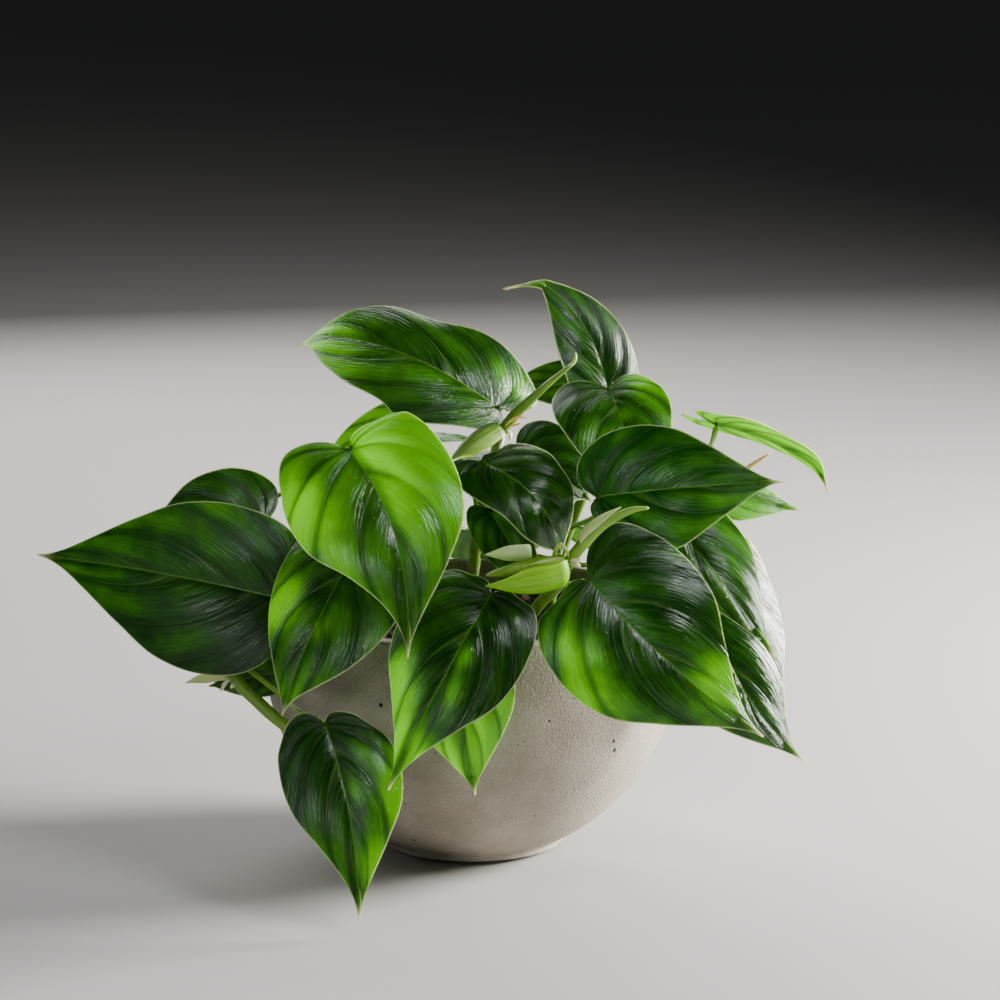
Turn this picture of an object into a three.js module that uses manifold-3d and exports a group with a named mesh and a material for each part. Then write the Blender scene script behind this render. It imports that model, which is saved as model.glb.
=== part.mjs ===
// A heartleaf philodendron in a round concrete bowl, in millimetres, +Z up.
// The origin is the middle of the underside of the pad that the bowl stands on. The plant's
// wide leaves face -Y, the side that it is looked at from, and +X is to the right there.
import * as THREE from 'three';
import { mergeVertices } from 'three/addons/utils/BufferGeometryUtils.js';
import Module from 'manifold-3d';

const wasm = await Module();
wasm.setup();

// The air left between pieces that touch.
const GAP = 0.3;

// The pad, and the bowl: a ball cut off at the rim, on a low round foot.
const PAD_RADIUS = 29;
const PAD_HEIGHT = 1.5;
const FOOT_RADIUS = 39.5;
const FOOT_HEIGHT = 3;
const BOWL_RADIUS = 87.5;
const BOWL_CENTRE = 82.5;
const WALL = 7.5;
const RIM_TOP = 105;
const RIM_ROUND = 1.5;
const BOWL_SIDES = 40;
const OUTSIDE_LEVELS = [7, 14, 24, 38, 55, 75, 92];
const INSIDE_LEVELS = [92, 78, 62, 42, 26, 15];

// The soil, and how deep a stem is set in its hole.
const SOIL_HEAVE = 2;
const ROOTED_DEPTH = 16;
const HOLE_SIDES = 8;
const SOIL_TOP = INSIDE_LEVELS[0];

// Stalks, stems and blades.
const STALK_RADIUS = 1.2;
const STALK_SIDES = 5;
const STALK_STEPS = 6;
const STEM_SIDES = 7;
const STEM_STEPS_PER_POINT = 2;
const BLADE_THICK = 0.7;
const BLADE_ROWS = 2;

// How a blade is shaped. Each half swells between the midrib and the margin by a share of its
// width and bends up or down by a power of the way across. The margin waves, a drawn lobe
// is moved along up to the middle, the blade narrows from one place on, and then the tail bends.
const PUFF = 0.07;
const RISE_POWER = 1.4;
const WAVE_TURNS = 2.5;
const LOBE_END = 0.5;
const TAPER_START = 0.45;
const TAPER_LENGTH = 0.4;

// How a stalk leaves its stem and comes in under the notch, as shares of its reach.
const STALK_LIFT = 0.35;
const STALK_ARRIVAL = 0.4;
const ARRIVAL_RISE = 0.6;

// Half of a blade's outline, from the notch at the stalk round the lobe to the drip tip:
// across / half width, along / length, and where on the midrib the rib to that point begins.
const HALF_OUTLINE = [
  [0, 0, 0],
  [0.14, -0.085, 0],
  [0.42, -0.15, 0],
  [0.74, -0.115, 0],
  [0.95, 0.03, 0],
  [1, 0.21, 0.04],
  [0.92, 0.41, 0.16],
  [0.7, 0.61, 0.36],
  [0.38, 0.78, 0.6],
  [0.14, 0.89, 0.8],
  [0.04, 0.955, 0.92],
  [0, 1, 1],
];

// The rooted stems: the middle of each one's hole, the points that it grows through above it,
// its radius, and how far along it thins out to its end.
const STEMS = [
  { name: 'stem_left', root: [-46, -14], radius: 2.6, endRadius: 2.2, thinsFrom: 0.9,
    route: [[-58, -20, 118], [-80, -32, 124], [-95, -42, 108], [-98, -47, 86], [-86, -53, 73],
      [-68, -62, 60]] },
  { name: 'stem_front', root: [-16, -36], radius: 2.4, endRadius: 1.4, thinsFrom: 0.8,
    route: [[-22, -52, 122], [-30, -60, 142], [-36, -62, 160]] },
  { name: 'stem_centre', root: [20, -42], radius: 2.4, endRadius: 0.6, thinsFrom: 0.7,
    route: [[28, -64, 118], [35, -84, 130], [40, -94, 143], [51, -97, 156], [63, -99, 163], [70, -99, 164]] },
  { name: 'stem_upper', root: [0, -12], radius: 2.2, endRadius: 0.7, thinsFrom: 0.75,
    route: [[2, -18, 135], [8, -30, 165], [14, -46, 187], [28, -54, 203], [41, -54, 214]] },
  { name: 'stem_right', root: [32, -10], radius: 2.2, endRadius: 1.4, thinsFrom: 0.8,
    route: [[38, -14, 130], [47, -17, 155], [53, -14, 172]] },
  { name: 'stem_right_low', root: [54, -22], radius: 2.4, endRadius: 1.4, thinsFrom: 0.8,
    route: [[66, -24, 118], [78, -24, 130], [92, -14, 146]] },
  { name: 'stem_back', root: [14, 30], radius: 2.4, endRadius: 1.4, thinsFrom: 0.8,
    route: [[15, 33, 118], [16, 34, 135], [16, 30, 152]] },
  { name: 'stem_back_left', root: [-34, 26], radius: 2.2, endRadius: 1.4, thinsFrom: 0.8,
    route: [[-35, 27, 115], [-34, 26, 130], [-31, 22, 146]] },
];

// Every leaf: its stem and where along it the stalk leaves, the notch and the tip of the
// blade, and the way that the upper side faces (degrees to the right of -Y, degrees up). With
// the tip hanging down, the first of each pair is the left half: its width, how far its margin
// rises and how far forward its lobe is drawn. Then how far out from the midrib the lobes are
// drawn in full, how far the midrib arches up, its sideways sweep, how much the blade is
// narrowed towards the tip, the last bend of the tail and where it starts, and the height and
// place of the waves along the margin.
const LEAVES = [
  { name: 'leaf_left_wide', stem: 'stem_left', at: 0.42, sinus: [-74, -58, 118], tip: [-180, -22, 129],
    face: [-10, 15], half: [33, 37], sweep: -1.5, lobes: [0.1, 0.12], taper: 0.25 },
  { name: 'leaf_left_behind', stem: 'stem_left', at: 0.28, sinus: [-88, 2, 138], tip: [-137, -6, 136],
    face: [-20, 30], half: [24, 22], arch: 4, taper: -0.2 },
  { name: 'leaf_left_front', stem: 'stem_front', at: 0.6, sinus: [-44, -80, 145], tip: [-75, -104, 82],
    face: [-22, 15], half: [26, 30], arch: 5, rise: [-2, -2], tail: [1, -1] },
  { name: 'leaf_bright', stem: 'stem_front', at: 0.95, sinus: [-47, -88, 185], tip: [-24, -122, 109],
    face: [0, 20], half: [36.5, 32], arch: 8, rise: [-2, -2], sweep: 8, lobes: [0.03, 0.06], taper: 0.45 },
  { name: 'leaf_upper_left', stem: 'stem_upper', at: 0.62, sinus: [11, -38, 193.5], tip: [-72, -12, 220],
    face: [0, 50], half: [27, 27], arch: 12, rise: [-1, -2], lobes: [0.04, 0.24], lobeEdge: 1, taper: -0.7,
    tail: [0, -9], wave: 3, phase: -1.9 },
  { name: 'leaf_top', stem: 'stem_back', at: 0.97, sinus: [57, 8, 192], tip: [24.3, 23.6, 240.2],
    face: [20, 28], half: [15.5, 18], arch: 3, rise: [1, 1], sweep: -6.5, tail: [15.4, 0], tailStart: 0.86,
    via: [[26, 24, 164], [45, 16, 182]] },
  { name: 'leaf_upper_heart', stem: 'stem_right', at: 0.9, sinus: [57, -15, 197], tip: [68, -46, 158],
    face: [10, 25], half: [26, 23], rise: [-2, -2], taper: -0.2 },
  { name: 'leaf_right_glossy', stem: 'stem_right', at: 0.5, sinus: [51, -66, 162], tip: [124, -76, 170],
    face: [10, 25], half: [25.5, 27], arch: 4, rise: [-2, 1], lobes: [0.25, 0.07], lobeEdge: 1, taper: 0.25 },
  { name: 'leaf_right_edge_on', stem: 'stem_right_low', at: 0.95, sinus: [103, 8, 179], tip: [154, 26, 152],
    face: [180, 70], half: [12, 12], arch: 4, rise: [1, 1], lobes: [-0.06, -0.06], tail: [0, -7], taper: -0.7 },
  { name: 'leaf_right_small', stem: 'stem_right_low', at: 0.9, sinus: [90, -22, 156], tip: [137, -14, 146],
    face: [0, 30], half: [12, 10], arch: 4, rise: [1, 1], taper: 0.2 },
  { name: 'leaf_right_middle', stem: 'stem_right_low', at: 0.6, sinus: [79, -48, 151], tip: [123, -66, 95],
    face: [30, 15], half: [14, 23], arch: 4, rise: [-4, -2], taper: 0.35 },
  { name: 'leaf_right_wide', stem: 'stem_centre', at: 0.5, sinus: [47, -90, 133], tip: [116, -100, 72],
    face: [0, 20], half: [35.5, 35], arch: 7, rise: [-2, -2], sweep: -4, lobes: [0.1, 0.03], taper: 0.38 },
  { name: 'leaf_right_low', stem: 'stem_right_low', at: 0.5, sinus: [96, -40, 123], tip: [137, -50, 48],
    face: [20, 15], half: [28, 32], arch: 4, rise: [-7, -7], sweep: -10, taper: 0.3 },
  { name: 'leaf_front', stem: 'stem_front', at: 0.45, sinus: [8, -94, 128], tip: [-32, -118, 55],
    face: [-10, 15], half: [27, 26], arch: 7, rise: [-2, -2], lobes: [0.08, 0.08], taper: 0.45 },
  { name: 'leaf_front_small', stem: 'stem_front', at: 0.35, sinus: [-6, -94, 106], tip: [2, -100, 48],
    face: [0, 5], half: [22, 22], arch: 2, rise: [-1, -1], lobes: [0.03, 0.03], taper: 0.2,
    via: [[-11, -76, 113], [-8, -89, 110]] },
  { name: 'leaf_lowest', stem: 'stem_left', at: 0.7, sinus: [-57, -104, 78], tip: [-43, -132, 7],
    face: [0, 20], half: [23.5, 23.5], arch: 4, rise: [-2, -2], sweep: 3.5, lobes: [0.08, 0.16], lobeEdge: 0.7,
    taper: 0.35, via: [[-77, -64, 80], [-68, -90, 80]] },
  { name: 'leaf_centre_glossy', stem: 'stem_upper', at: 0.4, sinus: [5, -66, 176], tip: [36, -70, 137],
    face: [20, 35], half: [16, 21], arch: 15, rise: [-3, -3], lobes: [0, 0.12], taper: -0.6 },
  { name: 'leaf_hazy', stem: 'stem_upper', at: 0.35, sinus: [20, -21, 171.5], tip: [49.5, -25, 152],
    face: [17, 30], half: [19, 19], arch: 4, rise: [1, 1] },
  { name: 'leaf_centre_low', stem: 'stem_upper', at: 0.3, sinus: [8, -50, 153], tip: [30, -56, 120],
    face: [-10, 10], half: [12, 10], arch: 3, rise: [1, 1] },
  { name: 'leaf_upper_dark', stem: 'stem_back', at: 0.9, sinus: [53, 26, 193], tip: [12, 18, 193],
    face: [-10, 20], half: [11, 11], arch: 3, rise: [1, 1], via: [[30, 22, 162], [48, 30, 184]] },
  { name: 'leaf_behind_bright', stem: 'stem_front', at: 0.8, sinus: [-27, -24, 184], tip: [-66, -34, 159],
    face: [-10, 20], half: [13, 15], arch: 3, rise: [1, 1] },
  { name: 'leaf_left_under', stem: 'stem_left', at: 0.52, sinus: [-76, -52, 87], tip: [-109, -30, 75],
    face: [-20, 5], half: [9, 9], arch: 2, rise: [-1, -1], via: [[-84, -42, 100], [-77, -46, 91]] },
];

// The leaves round the back stand in two tiers, spread by angle from +Y towards +X.
const BACK_TIERS = [
  { name: 'leaf_back_low', stems: ['stem_back_left', 'stem_back_left', 'stem_back', 'stem_back', 'stem_back'],
    at: 0.28, turns: [-68, -34, 0, 34, 68], notchRadius: 64, notchHeight: 122, tipRadius: 124, tipHeight: 88,
    stagger: 6, faceUp: 48, half: 24 },
  { name: 'leaf_back_high', stems: ['stem_back_left', 'stem_back_left', 'stem_back'],
    at: 0.72, turns: [-64, -24, 18], notchRadius: 44, notchHeight: 158, tipRadius: 98, tipHeight: 138,
    stagger: 8, faceUp: 62, half: 22 },
];

// What every leaf has unless its own line says otherwise.
const USUAL_LEAF = {
  arch: 6, rise: [2, 2], lobes: [0, 0], lobeEdge: 0.4, sweep: 0, taper: 0, tail: [0, 0],
  tailStart: 0.8, wave: 0.8, phase: 0,
};

// Sheaths that wrapped a new leaf: base and tip, the way that the open side faces, the width
// at the base and at the widest, how far round it wraps to either side (degrees), and the colour.
const SHEATH_THICK = 0.8;
const SHEATH_PROFILE = [1, 1, 0.9, 0.68, 0.36, 0];
const SHEATH_COLUMNS = 4;
const SHEATHS = [
  { name: 'sheath_front', base: [36.4, -96.3, 142], tip: [6, -106, 134.5], open: [180, 60],
    clasp: 6, width: 13, wrap: 72, colour: 0xa9cf52 },
  { name: 'sheath_front_small', base: [24, -95.4, 146.2], tip: [6, -96.8, 144.9], open: [180, 0],
    clasp: 4, width: 7, wrap: 60, colour: 0xc9dba0 },
  { name: 'sheath_tip', base: [44.7, -95.5, 149.4], tip: [59, -98.7, 164.2], open: [90, -60],
    clasp: 7, width: 8, wrap: 70, colour: 0xc4d68a },
  { name: 'sheath_left', base: [-100.3, -48, 83], tip: [-117, -49, 81], open: [0, -40],
    clasp: 5, width: 7, wrap: 70, colour: 0xc8d6a4 },
  { name: 'sheath_upper', base: [11.8, -48.6, 184.6], tip: [-8, -66, 177], open: [0, -60],
    clasp: 5, width: 11, wrap: 120, colour: 0x6f8f3a },
];

// A new leaf still rolled up in its sheath, a spindle with blunt ends.
const ROLLED_LEAF = { base: [37.2, -95.5, 143], tip: [6, -106, 138.5], radius: 2.7, endRadius: 0.5 };
const ROLLED_SIDES = 7;
const ROLLED_STEPS = 8;

const vector = (values) => new THREE.Vector3(...values);

// The leaf lists with the usual values filled in, the seen leaves first and then the back ones.
function leaves() {
  const list = LEAVES.map((leaf) => ({ ...USUAL_LEAF, ...leaf }));
  for (const tier of BACK_TIERS) {
    tier.turns.forEach((degrees, i) => {
      const turn = THREE.MathUtils.degToRad(degrees);
      const lift = tier.stagger * (i % 2);
      const place = (radius, height) => [radius * Math.sin(turn), radius * Math.cos(turn), height + lift];
      list.push({ ...USUAL_LEAF, name: `${tier.name}_${i + 1}`, stem: tier.stems[i], at: tier.at + 0.05 * i,
        sinus: place(tier.notchRadius, tier.notchHeight), tip: place(tier.tipRadius, tier.tipHeight),
        face: [180 - degrees, tier.faceUp], half: [tier.half, tier.half], rise: [-2, -2] });
    });
  }
  return list;
}

function mesh(name, geometry, colour, roughness) {
  const piece = new THREE.Mesh(geometry, new THREE.MeshStandardMaterial({ color: colour, roughness }));
  piece.name = name;
  return piece;
}

function facesGeometry(points, faces) {
  const geometry = new THREE.BufferGeometry();
  geometry.setAttribute('position', new THREE.Float32BufferAttribute(points, 3));
  geometry.setIndex(faces);
  return geometry;
}

function toSolid(geometry) {
  const plain = geometry.clone();
  plain.deleteAttribute('normal');
  plain.deleteAttribute('uv');
  const merged = mergeVertices(plain, 1e-4);
  return new wasm.Manifold(new wasm.Mesh({
    numProp: 3,
    vertProperties: new Float32Array(merged.attributes.position.array),
    triVerts: new Uint32Array(merged.index.array),
  }));
}

function fromSolid(solid) {
  const result = solid.getMesh();
  return facesGeometry(Array.from(result.vertProperties), Array.from(result.triVerts));
}

// A direction from degrees to the right of -Y and degrees up.
function direction(right, up) {
  const a = THREE.MathUtils.degToRad(right);
  const e = THREE.MathUtils.degToRad(up);
  return new THREE.Vector3(Math.sin(a) * Math.cos(e), -Math.cos(a) * Math.cos(e), Math.sin(e));
}

// A thin sheet made from a grid of points: two skins a thickness apart, split into triangles
// alike, with a wall round the edge. Grid cells that shrink to a point are left out.
function thickSheet(points, quads, thickness) {
  const grid = facesGeometry(
    points.flatMap((point) => point.toArray()),
    quads.flatMap(([a, b, c, d]) => [a, b, c, a, c, d]),
  );
  const sheet = mergeVertices(grid, 1e-3);
  const index = [];
  for (let i = 0; i < sheet.index.count; i += 3) {
    const [a, b, c] = [0, 1, 2].map((k) => sheet.index.getX(i + k));
    if (a !== b && b !== c && c !== a) index.push(a, b, c);
  }
  sheet.setIndex(index);
  sheet.computeVertexNormals();

  const count = sheet.attributes.position.count;
  const corners = [];
  for (const side of [0.5, -0.5]) {
    for (let i = 0; i < count; i++) {
      const point = new THREE.Vector3().fromBufferAttribute(sheet.attributes.position, i);
      const normal = new THREE.Vector3().fromBufferAttribute(sheet.attributes.normal, i);
      corners.push(...point.addScaledVector(normal, side * thickness).toArray());
    }
  }
  const faces = [...index];
  const edges = new Set();
  for (let i = 0; i < index.length; i += 3) {
    const [a, b, c] = index.slice(i, i + 3);
    faces.push(a + count, c + count, b + count);
    for (const edge of [[a, b], [b, c], [c, a]]) edges.add(edge.join());
  }
  for (const edge of edges) {
    const [a, b] = edge.split(',').map(Number);
    if (edges.has(`${b},${a}`)) continue;
    faces.push(b, a, a + count, b, a + count, b + count);
  }
  return facesGeometry(corners, faces);
}

// A round stalk along a curve, with its radius given along the way.
function roundStalk(curve, radiusAt, sides, steps) {
  const points = [];
  const faces = [];
  let normal = new THREE.Vector3(0.31, 0.95, 0.05);
  for (let i = 0; i <= steps; i++) {
    const centre = curve.getPoint(i / steps);
    const tangent = curve.getTangent(i / steps);
    normal = normal.clone().addScaledVector(tangent, -normal.dot(tangent)).normalize();
    const binormal = tangent.clone().cross(normal);
    for (let k = 0; k < sides; k++) {
      const angle = (2 * Math.PI * k) / sides;
      const spoke = normal.clone().multiplyScalar(Math.cos(angle)).addScaledVector(binormal, Math.sin(angle));
      points.push(...centre.clone().addScaledVector(spoke, radiusAt(i / steps)).toArray());
    }
  }
  for (let i = 0; i < steps; i++) {
    for (let k = 0; k < sides; k++) {
      const a = i * sides + k;
      const b = i * sides + ((k + 1) % sides);
      faces.push(a, b, b + sides, a, b + sides, a + sides);
    }
  }
  const last = steps * sides;
  for (let k = 1; k < sides - 1; k++) {
    faces.push(0, k + 1, k);
    faces.push(last, last + k, last + k + 1);
  }
  return facesGeometry(points, faces);
}

// The blade's own directions: along the midrib, out of the upper side, and across.
function leafFrame(leaf) {
  const sinus = vector(leaf.sinus);
  const along = vector(leaf.tip).sub(sinus);
  const length = along.length();
  along.normalize();
  const up = direction(...leaf.face);
  up.addScaledVector(along, -up.dot(along)).normalize();
  const across = up.clone().cross(along);
  return { sinus, along, up, across, length };
}

// A point of the blade's middle surface. Side is -1 or 1, the outline point sets the rib, its
// place runs from 0 at the notch to 1 at the tip, and t runs from the midrib to the margin.
function bladePoint(leaf, frame, side, [edge, edgeAlong, ribStart], place, t) {
  const half = side < 0 ? 0 : 1;
  const drawn = Math.max(0, 1 - edgeAlong / LOBE_END) * Math.min(1, edge / leaf.lobeEdge);
  const ribEnd = edgeAlong + leaf.lobes[half] * drawn;
  const narrowed = 1 - leaf.taper * THREE.MathUtils.clamp((edgeAlong - TAPER_START) / TAPER_LENGTH, 0, 1);
  const a = edge * narrowed * t;
  const v = ribStart + (ribEnd - ribStart) * t;
  const bow = v < 0 ? 4 * v * (1 + 3 * v) : 4 * v * (1 - v);
  const slope = v < 0 ? 4 + 24 * v : 4 - 8 * v;
  const bend = Math.max(0, v - leaf.tailStart) / (1 - leaf.tailStart);
  const tail = bend ** 2;
  const tailSlope = (2 * bend) / (1 - leaf.tailStart);
  const lean = Math.atan((leaf.sweep * slope + leaf.tail[0] * tailSlope) / frame.length);
  const wavePlace = 2 * Math.PI * WAVE_TURNS * place + leaf.sinus[0] + side + leaf.phase;
  const rise = leaf.rise[half] * a ** RISE_POWER
    + PUFF * leaf.half[half] * edge * Math.sin(Math.PI * t)
    + leaf.wave * Math.sin(wavePlace) * a * t ** 2;
  const sideways = side * a * leaf.half[half];
  return frame.sinus.clone()
    .addScaledVector(frame.along, v * frame.length - sideways * Math.sin(lean))
    .addScaledVector(frame.across, leaf.sweep * bow + leaf.tail[0] * tail + sideways * Math.cos(lean))
    .addScaledVector(frame.up, leaf.arch * bow + leaf.tail[1] * tail + rise);
}

// The blade starts at its first rib, which is the margin beside the notch.
function blade(leaf) {
  const frame = leafFrame(leaf);
  const points = [];
  const quads = [];
  const row = BLADE_ROWS + 1;
  for (const side of [-1, 1]) {
    const first = points.length;
    HALF_OUTLINE.forEach((edge, i) => {
      const place = i / (HALF_OUTLINE.length - 1);
      for (let k = 0; k < row; k++) {
        points.push(bladePoint(leaf, frame, side, edge, place, k / BLADE_ROWS));
      }
      if (i < 2) return;
      for (let k = 0; k < BLADE_ROWS; k++) {
        const a = first + (i - 1) * row + k;
        const corners = [a, a + 1, a + row + 1, a + row];
        quads.push(side < 0 ? corners.reverse() : corners);
      }
    });
  }
  return thickSheet(points, quads, BLADE_THICK);
}

// The middle line of a rooted stem: straight up out of its hole, and then through its points.
function stemCurve(stem) {
  const straight = [SOIL_TOP - ROOTED_DEPTH, SOIL_TOP + 1, SOIL_TOP + 7].map((z) => [...stem.root, z]);
  return new THREE.CatmullRomCurve3([...straight, ...stem.route].map(vector), false, 'centripetal');
}

// A leaf stalk rises from its stem and comes to the notch of the blade from behind.
function stalkCurve(leaf, stemCurves) {
  const frame = leafFrame(leaf);
  const start = stemCurves[leaf.stem].getPointAt(leaf.at);
  const arrival = leaf.via
    ? frame.sinus.clone().sub(vector(leaf.via.at(-1))).normalize()
    : frame.up.clone().add(new THREE.Vector3(0, 0, ARRIVAL_RISE)).normalize();
  const tilt = Math.sqrt(1 - arrival.dot(frame.up) ** 2);
  const clear = BLADE_THICK / 2 + GAP + STALK_RADIUS * tilt;
  const end = frame.sinus.clone().addScaledVector(frame.up, -clear);
  if (leaf.via) return new THREE.CatmullRomCurve3([start, ...leaf.via.map(vector), end]);
  const reach = start.distanceTo(end);
  return new THREE.CubicBezierCurve3(
    start,
    start.clone().add(new THREE.Vector3(0, 0, STALK_LIFT * reach)),
    end.clone().addScaledVector(arrival, -STALK_ARRIVAL * reach),
    end,
  );
}

// A rooted stem with the stalks of its leaves, grown together.
function stemWithStalks(stem, stemCurves, allLeaves) {
  const curve = stemCurves[stem.name];
  const steps = STEM_STEPS_PER_POINT * (curve.points.length - 1);
  const radiusAt = (u) => {
    const past = Math.max(0, (u - stem.thinsFrom) / (1 - stem.thinsFrom));
    return stem.radius + (stem.endRadius - stem.radius) * past;
  };
  let solid = toSolid(roundStalk(curve, radiusAt, STEM_SIDES, steps));
  for (const leaf of allLeaves.filter((each) => each.stem === stem.name)) {
    const stalk = roundStalk(stalkCurve(leaf, stemCurves), () => STALK_RADIUS, STALK_SIDES, STALK_STEPS);
    solid = solid.add(toSolid(stalk));
  }
  return fromSolid(solid);
}

// A boat-shaped sheath round the line from its base to its tip.
function sheath({ base, tip, open, clasp, width, wrap }) {
  const start = vector(base);
  const along = vector(tip).sub(start);
  const outward = direction(...open);
  outward.addScaledVector(along, -outward.dot(along) / along.lengthSq()).normalize();
  const across = outward.clone().cross(along).normalize();
  const points = [];
  const quads = [];
  const row = SHEATH_COLUMNS + 1;
  const shares = [clasp / width, ...SHEATH_PROFILE];
  shares.forEach((share, i) => {
    for (let k = 0; k < row; k++) {
      const angle = THREE.MathUtils.degToRad(wrap) * (2 * k / SHEATH_COLUMNS - 1);
      points.push(start.clone()
        .addScaledVector(along, i / (shares.length - 1))
        .addScaledVector(outward, -0.5 * width * share * Math.cos(angle))
        .addScaledVector(across, 0.5 * width * share * Math.sin(angle)));
    }
    if (i === 0) return;
    for (let k = 0; k < SHEATH_COLUMNS; k++) {
      const a = (i - 1) * row + k;
      quads.push([a, a + 1, a + row + 1, a + row]);
    }
  });
  return thickSheet(points, quads, SHEATH_THICK);
}

function rolledLeaf({ base, tip, radius, endRadius }) {
  const line = new THREE.LineCurve3(vector(base), vector(tip));
  const swelling = (u) => Math.sin(Math.PI * (0.1 + 0.85 * u)) ** 0.8;
  return roundStalk(line, (u) => endRadius + radius * swelling(u), ROLLED_SIDES, ROLLED_STEPS);
}

const ballSection = (radius, z) => Math.sqrt(radius ** 2 - (z - BOWL_CENTRE) ** 2);

function turned(profile) {
  const points = profile.map(([r, z]) => new THREE.Vector2(r, z));
  return new THREE.LatheGeometry(points, BOWL_SIDES).rotateX(Math.PI / 2);
}

function bowl() {
  const underside = PAD_HEIGHT + GAP;
  const profile = [[0, underside], [FOOT_RADIUS, underside], [FOOT_RADIUS, PAD_HEIGHT + FOOT_HEIGHT]];
  const shoulder = RIM_TOP - RIM_ROUND;
  for (const z of [...OUTSIDE_LEVELS, shoulder]) profile.push([ballSection(BOWL_RADIUS, z), z]);
  const edge = ballSection(BOWL_RADIUS, shoulder);
  profile.push([edge - RIM_ROUND, RIM_TOP], [edge - WALL + RIM_ROUND, RIM_TOP], [edge - WALL, shoulder]);
  for (const z of INSIDE_LEVELS) profile.push([ballSection(BOWL_RADIUS - WALL, z), z]);
  profile.push([0, INSIDE_LEVELS.at(-1)]);
  return turned(profile);
}

function soil() {
  const profile = [[0, INSIDE_LEVELS.at(-1) + GAP]];
  for (const z of INSIDE_LEVELS.toReversed()) {
    profile.push([ballSection(BOWL_RADIUS - WALL, z) - GAP, z + GAP]);
  }
  profile.push([0, SOIL_TOP + SOIL_HEAVE]);
  let solid = toSolid(turned(profile));
  const depth = ROOTED_DEPTH + GAP;
  for (const stem of STEMS) {
    const radius = (stem.radius + GAP) / Math.cos(Math.PI / HOLE_SIDES);
    const hole = new THREE.CylinderGeometry(radius, radius, 2 * depth, HOLE_SIDES).rotateX(Math.PI / 2);
    hole.translate(...stem.root, SOIL_TOP);
    solid = solid.subtract(toSolid(hole));
  }
  return fromSolid(solid);
}

const plant = new THREE.Group();
const allLeaves = leaves();
const stemCurves = Object.fromEntries(STEMS.map((stem) => [stem.name, stemCurve(stem)]));

const pad = new THREE.CylinderGeometry(PAD_RADIUS, PAD_RADIUS, PAD_HEIGHT, BOWL_SIDES).rotateX(Math.PI / 2);
pad.translate(0, 0, PAD_HEIGHT / 2);
plant.add(mesh('base_pad', pad, 0x1c1b19, 0.9));
plant.add(mesh('pot', bowl(), 0xa79d8c, 0.85));
plant.add(mesh('soil', soil(), 0x2a1d14, 1));
for (const stem of STEMS) {
  plant.add(mesh(stem.name, stemWithStalks(stem, stemCurves, allLeaves), 0x8fae4a, 0.5));
}
for (const leaf of allLeaves) plant.add(mesh(leaf.name, blade(leaf), 0x2f7a1c, 0.35));
for (const each of SHEATHS) plant.add(mesh(each.name, sheath(each), each.colour, 0.6));
plant.add(mesh('rolled_leaf', rolledLeaf(ROLLED_LEAF), 0x7d9a3c, 0.5));

export default plant;
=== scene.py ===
# A potted heartleaf philodendron: a concrete bowl of soil, rooted vines with their leaf stalks,
# glossy heart-shaped leaves, and the sheaths and new growth at the ends of the vines.
import math
import random

import bmesh
import bpy
from mathutils import Matrix, Vector, noise


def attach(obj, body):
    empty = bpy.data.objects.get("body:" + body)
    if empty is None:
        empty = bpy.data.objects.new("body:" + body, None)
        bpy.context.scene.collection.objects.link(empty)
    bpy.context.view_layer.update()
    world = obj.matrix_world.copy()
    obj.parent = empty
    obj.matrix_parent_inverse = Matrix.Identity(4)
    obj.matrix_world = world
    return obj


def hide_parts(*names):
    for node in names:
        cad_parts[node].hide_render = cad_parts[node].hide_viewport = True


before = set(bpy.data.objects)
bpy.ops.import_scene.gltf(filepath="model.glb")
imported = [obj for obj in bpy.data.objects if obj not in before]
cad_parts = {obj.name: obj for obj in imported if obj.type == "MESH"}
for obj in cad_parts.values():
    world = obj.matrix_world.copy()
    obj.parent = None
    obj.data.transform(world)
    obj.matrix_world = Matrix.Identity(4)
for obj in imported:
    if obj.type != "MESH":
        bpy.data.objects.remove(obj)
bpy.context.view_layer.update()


# The pot is a round bowl cast in pale concrete, cut off flat at the rim, on a low round foot.
# Its skin is grainy with sand, clouded in tone, and pricked with small dark holes where air
# was trapped in the mould.
MM = 0.001
PAD_TOP = 1.5
POT_UNDERSIDE = PAD_TOP + 0.3
FOOT_RADIUS = 39.5
FOOT_TOP = 4.5
FOOT_ROUND = 0.7
BOWL_RADIUS = 87.5
BOWL_CENTRE = 82.5
BOWL_START = 6
WALL = 7.5
RIM_TOP = 105
RIM_ROUND = 1.5
INSIDE_FLOOR = 15
BOWL_STEPS = 160
BOWL_RINGS = 56
ARC_STEPS = 6
CAST_UNEVENNESS = 0.25
CAST_PATCH = 26
CONCRETE_PALE = (0.44, 0.395, 0.325, 1)
CONCRETE_DARK = (0.28, 0.243, 0.195, 1)
CONCRETE_HOLE = (0.022, 0.019, 0.016, 1)
# Three sizes of hole, each by how close together they lie, how few are open, and how wide.
AIR_HOLES = ((85, 0.72, 0.085), (190, 0.8, 0.11), (420, 0.86, 0.14))


def new_material(name):
    """A material, its node tree and its shader."""
    material = bpy.data.materials.new(name)
    material.use_nodes = True
    return material, material.node_tree, material.node_tree.nodes["Principled BSDF"]


def fill(tree, node, values):
    """Sets inputs of a shader node, each to a constant or to the output of another node."""
    for key, value in values.items():
        if isinstance(value, bpy.types.NodeSocket):
            tree.links.new(value, node.inputs[key])
        else:
            node.inputs[key].default_value = value


def add_node(tree, kind, values=None, **settings):
    """A shader node with its settings made and its inputs filled."""
    node = tree.nodes.new(kind)
    for key, setting in settings.items():
        setattr(node, key, setting)
    fill(tree, node, values or {})
    return node


def figure(tree, operation, *values):
    """One sum in a material, such as a product or a power."""
    return add_node(tree, "ShaderNodeMath", dict(enumerate(values)), operation=operation).outputs[0]


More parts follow.
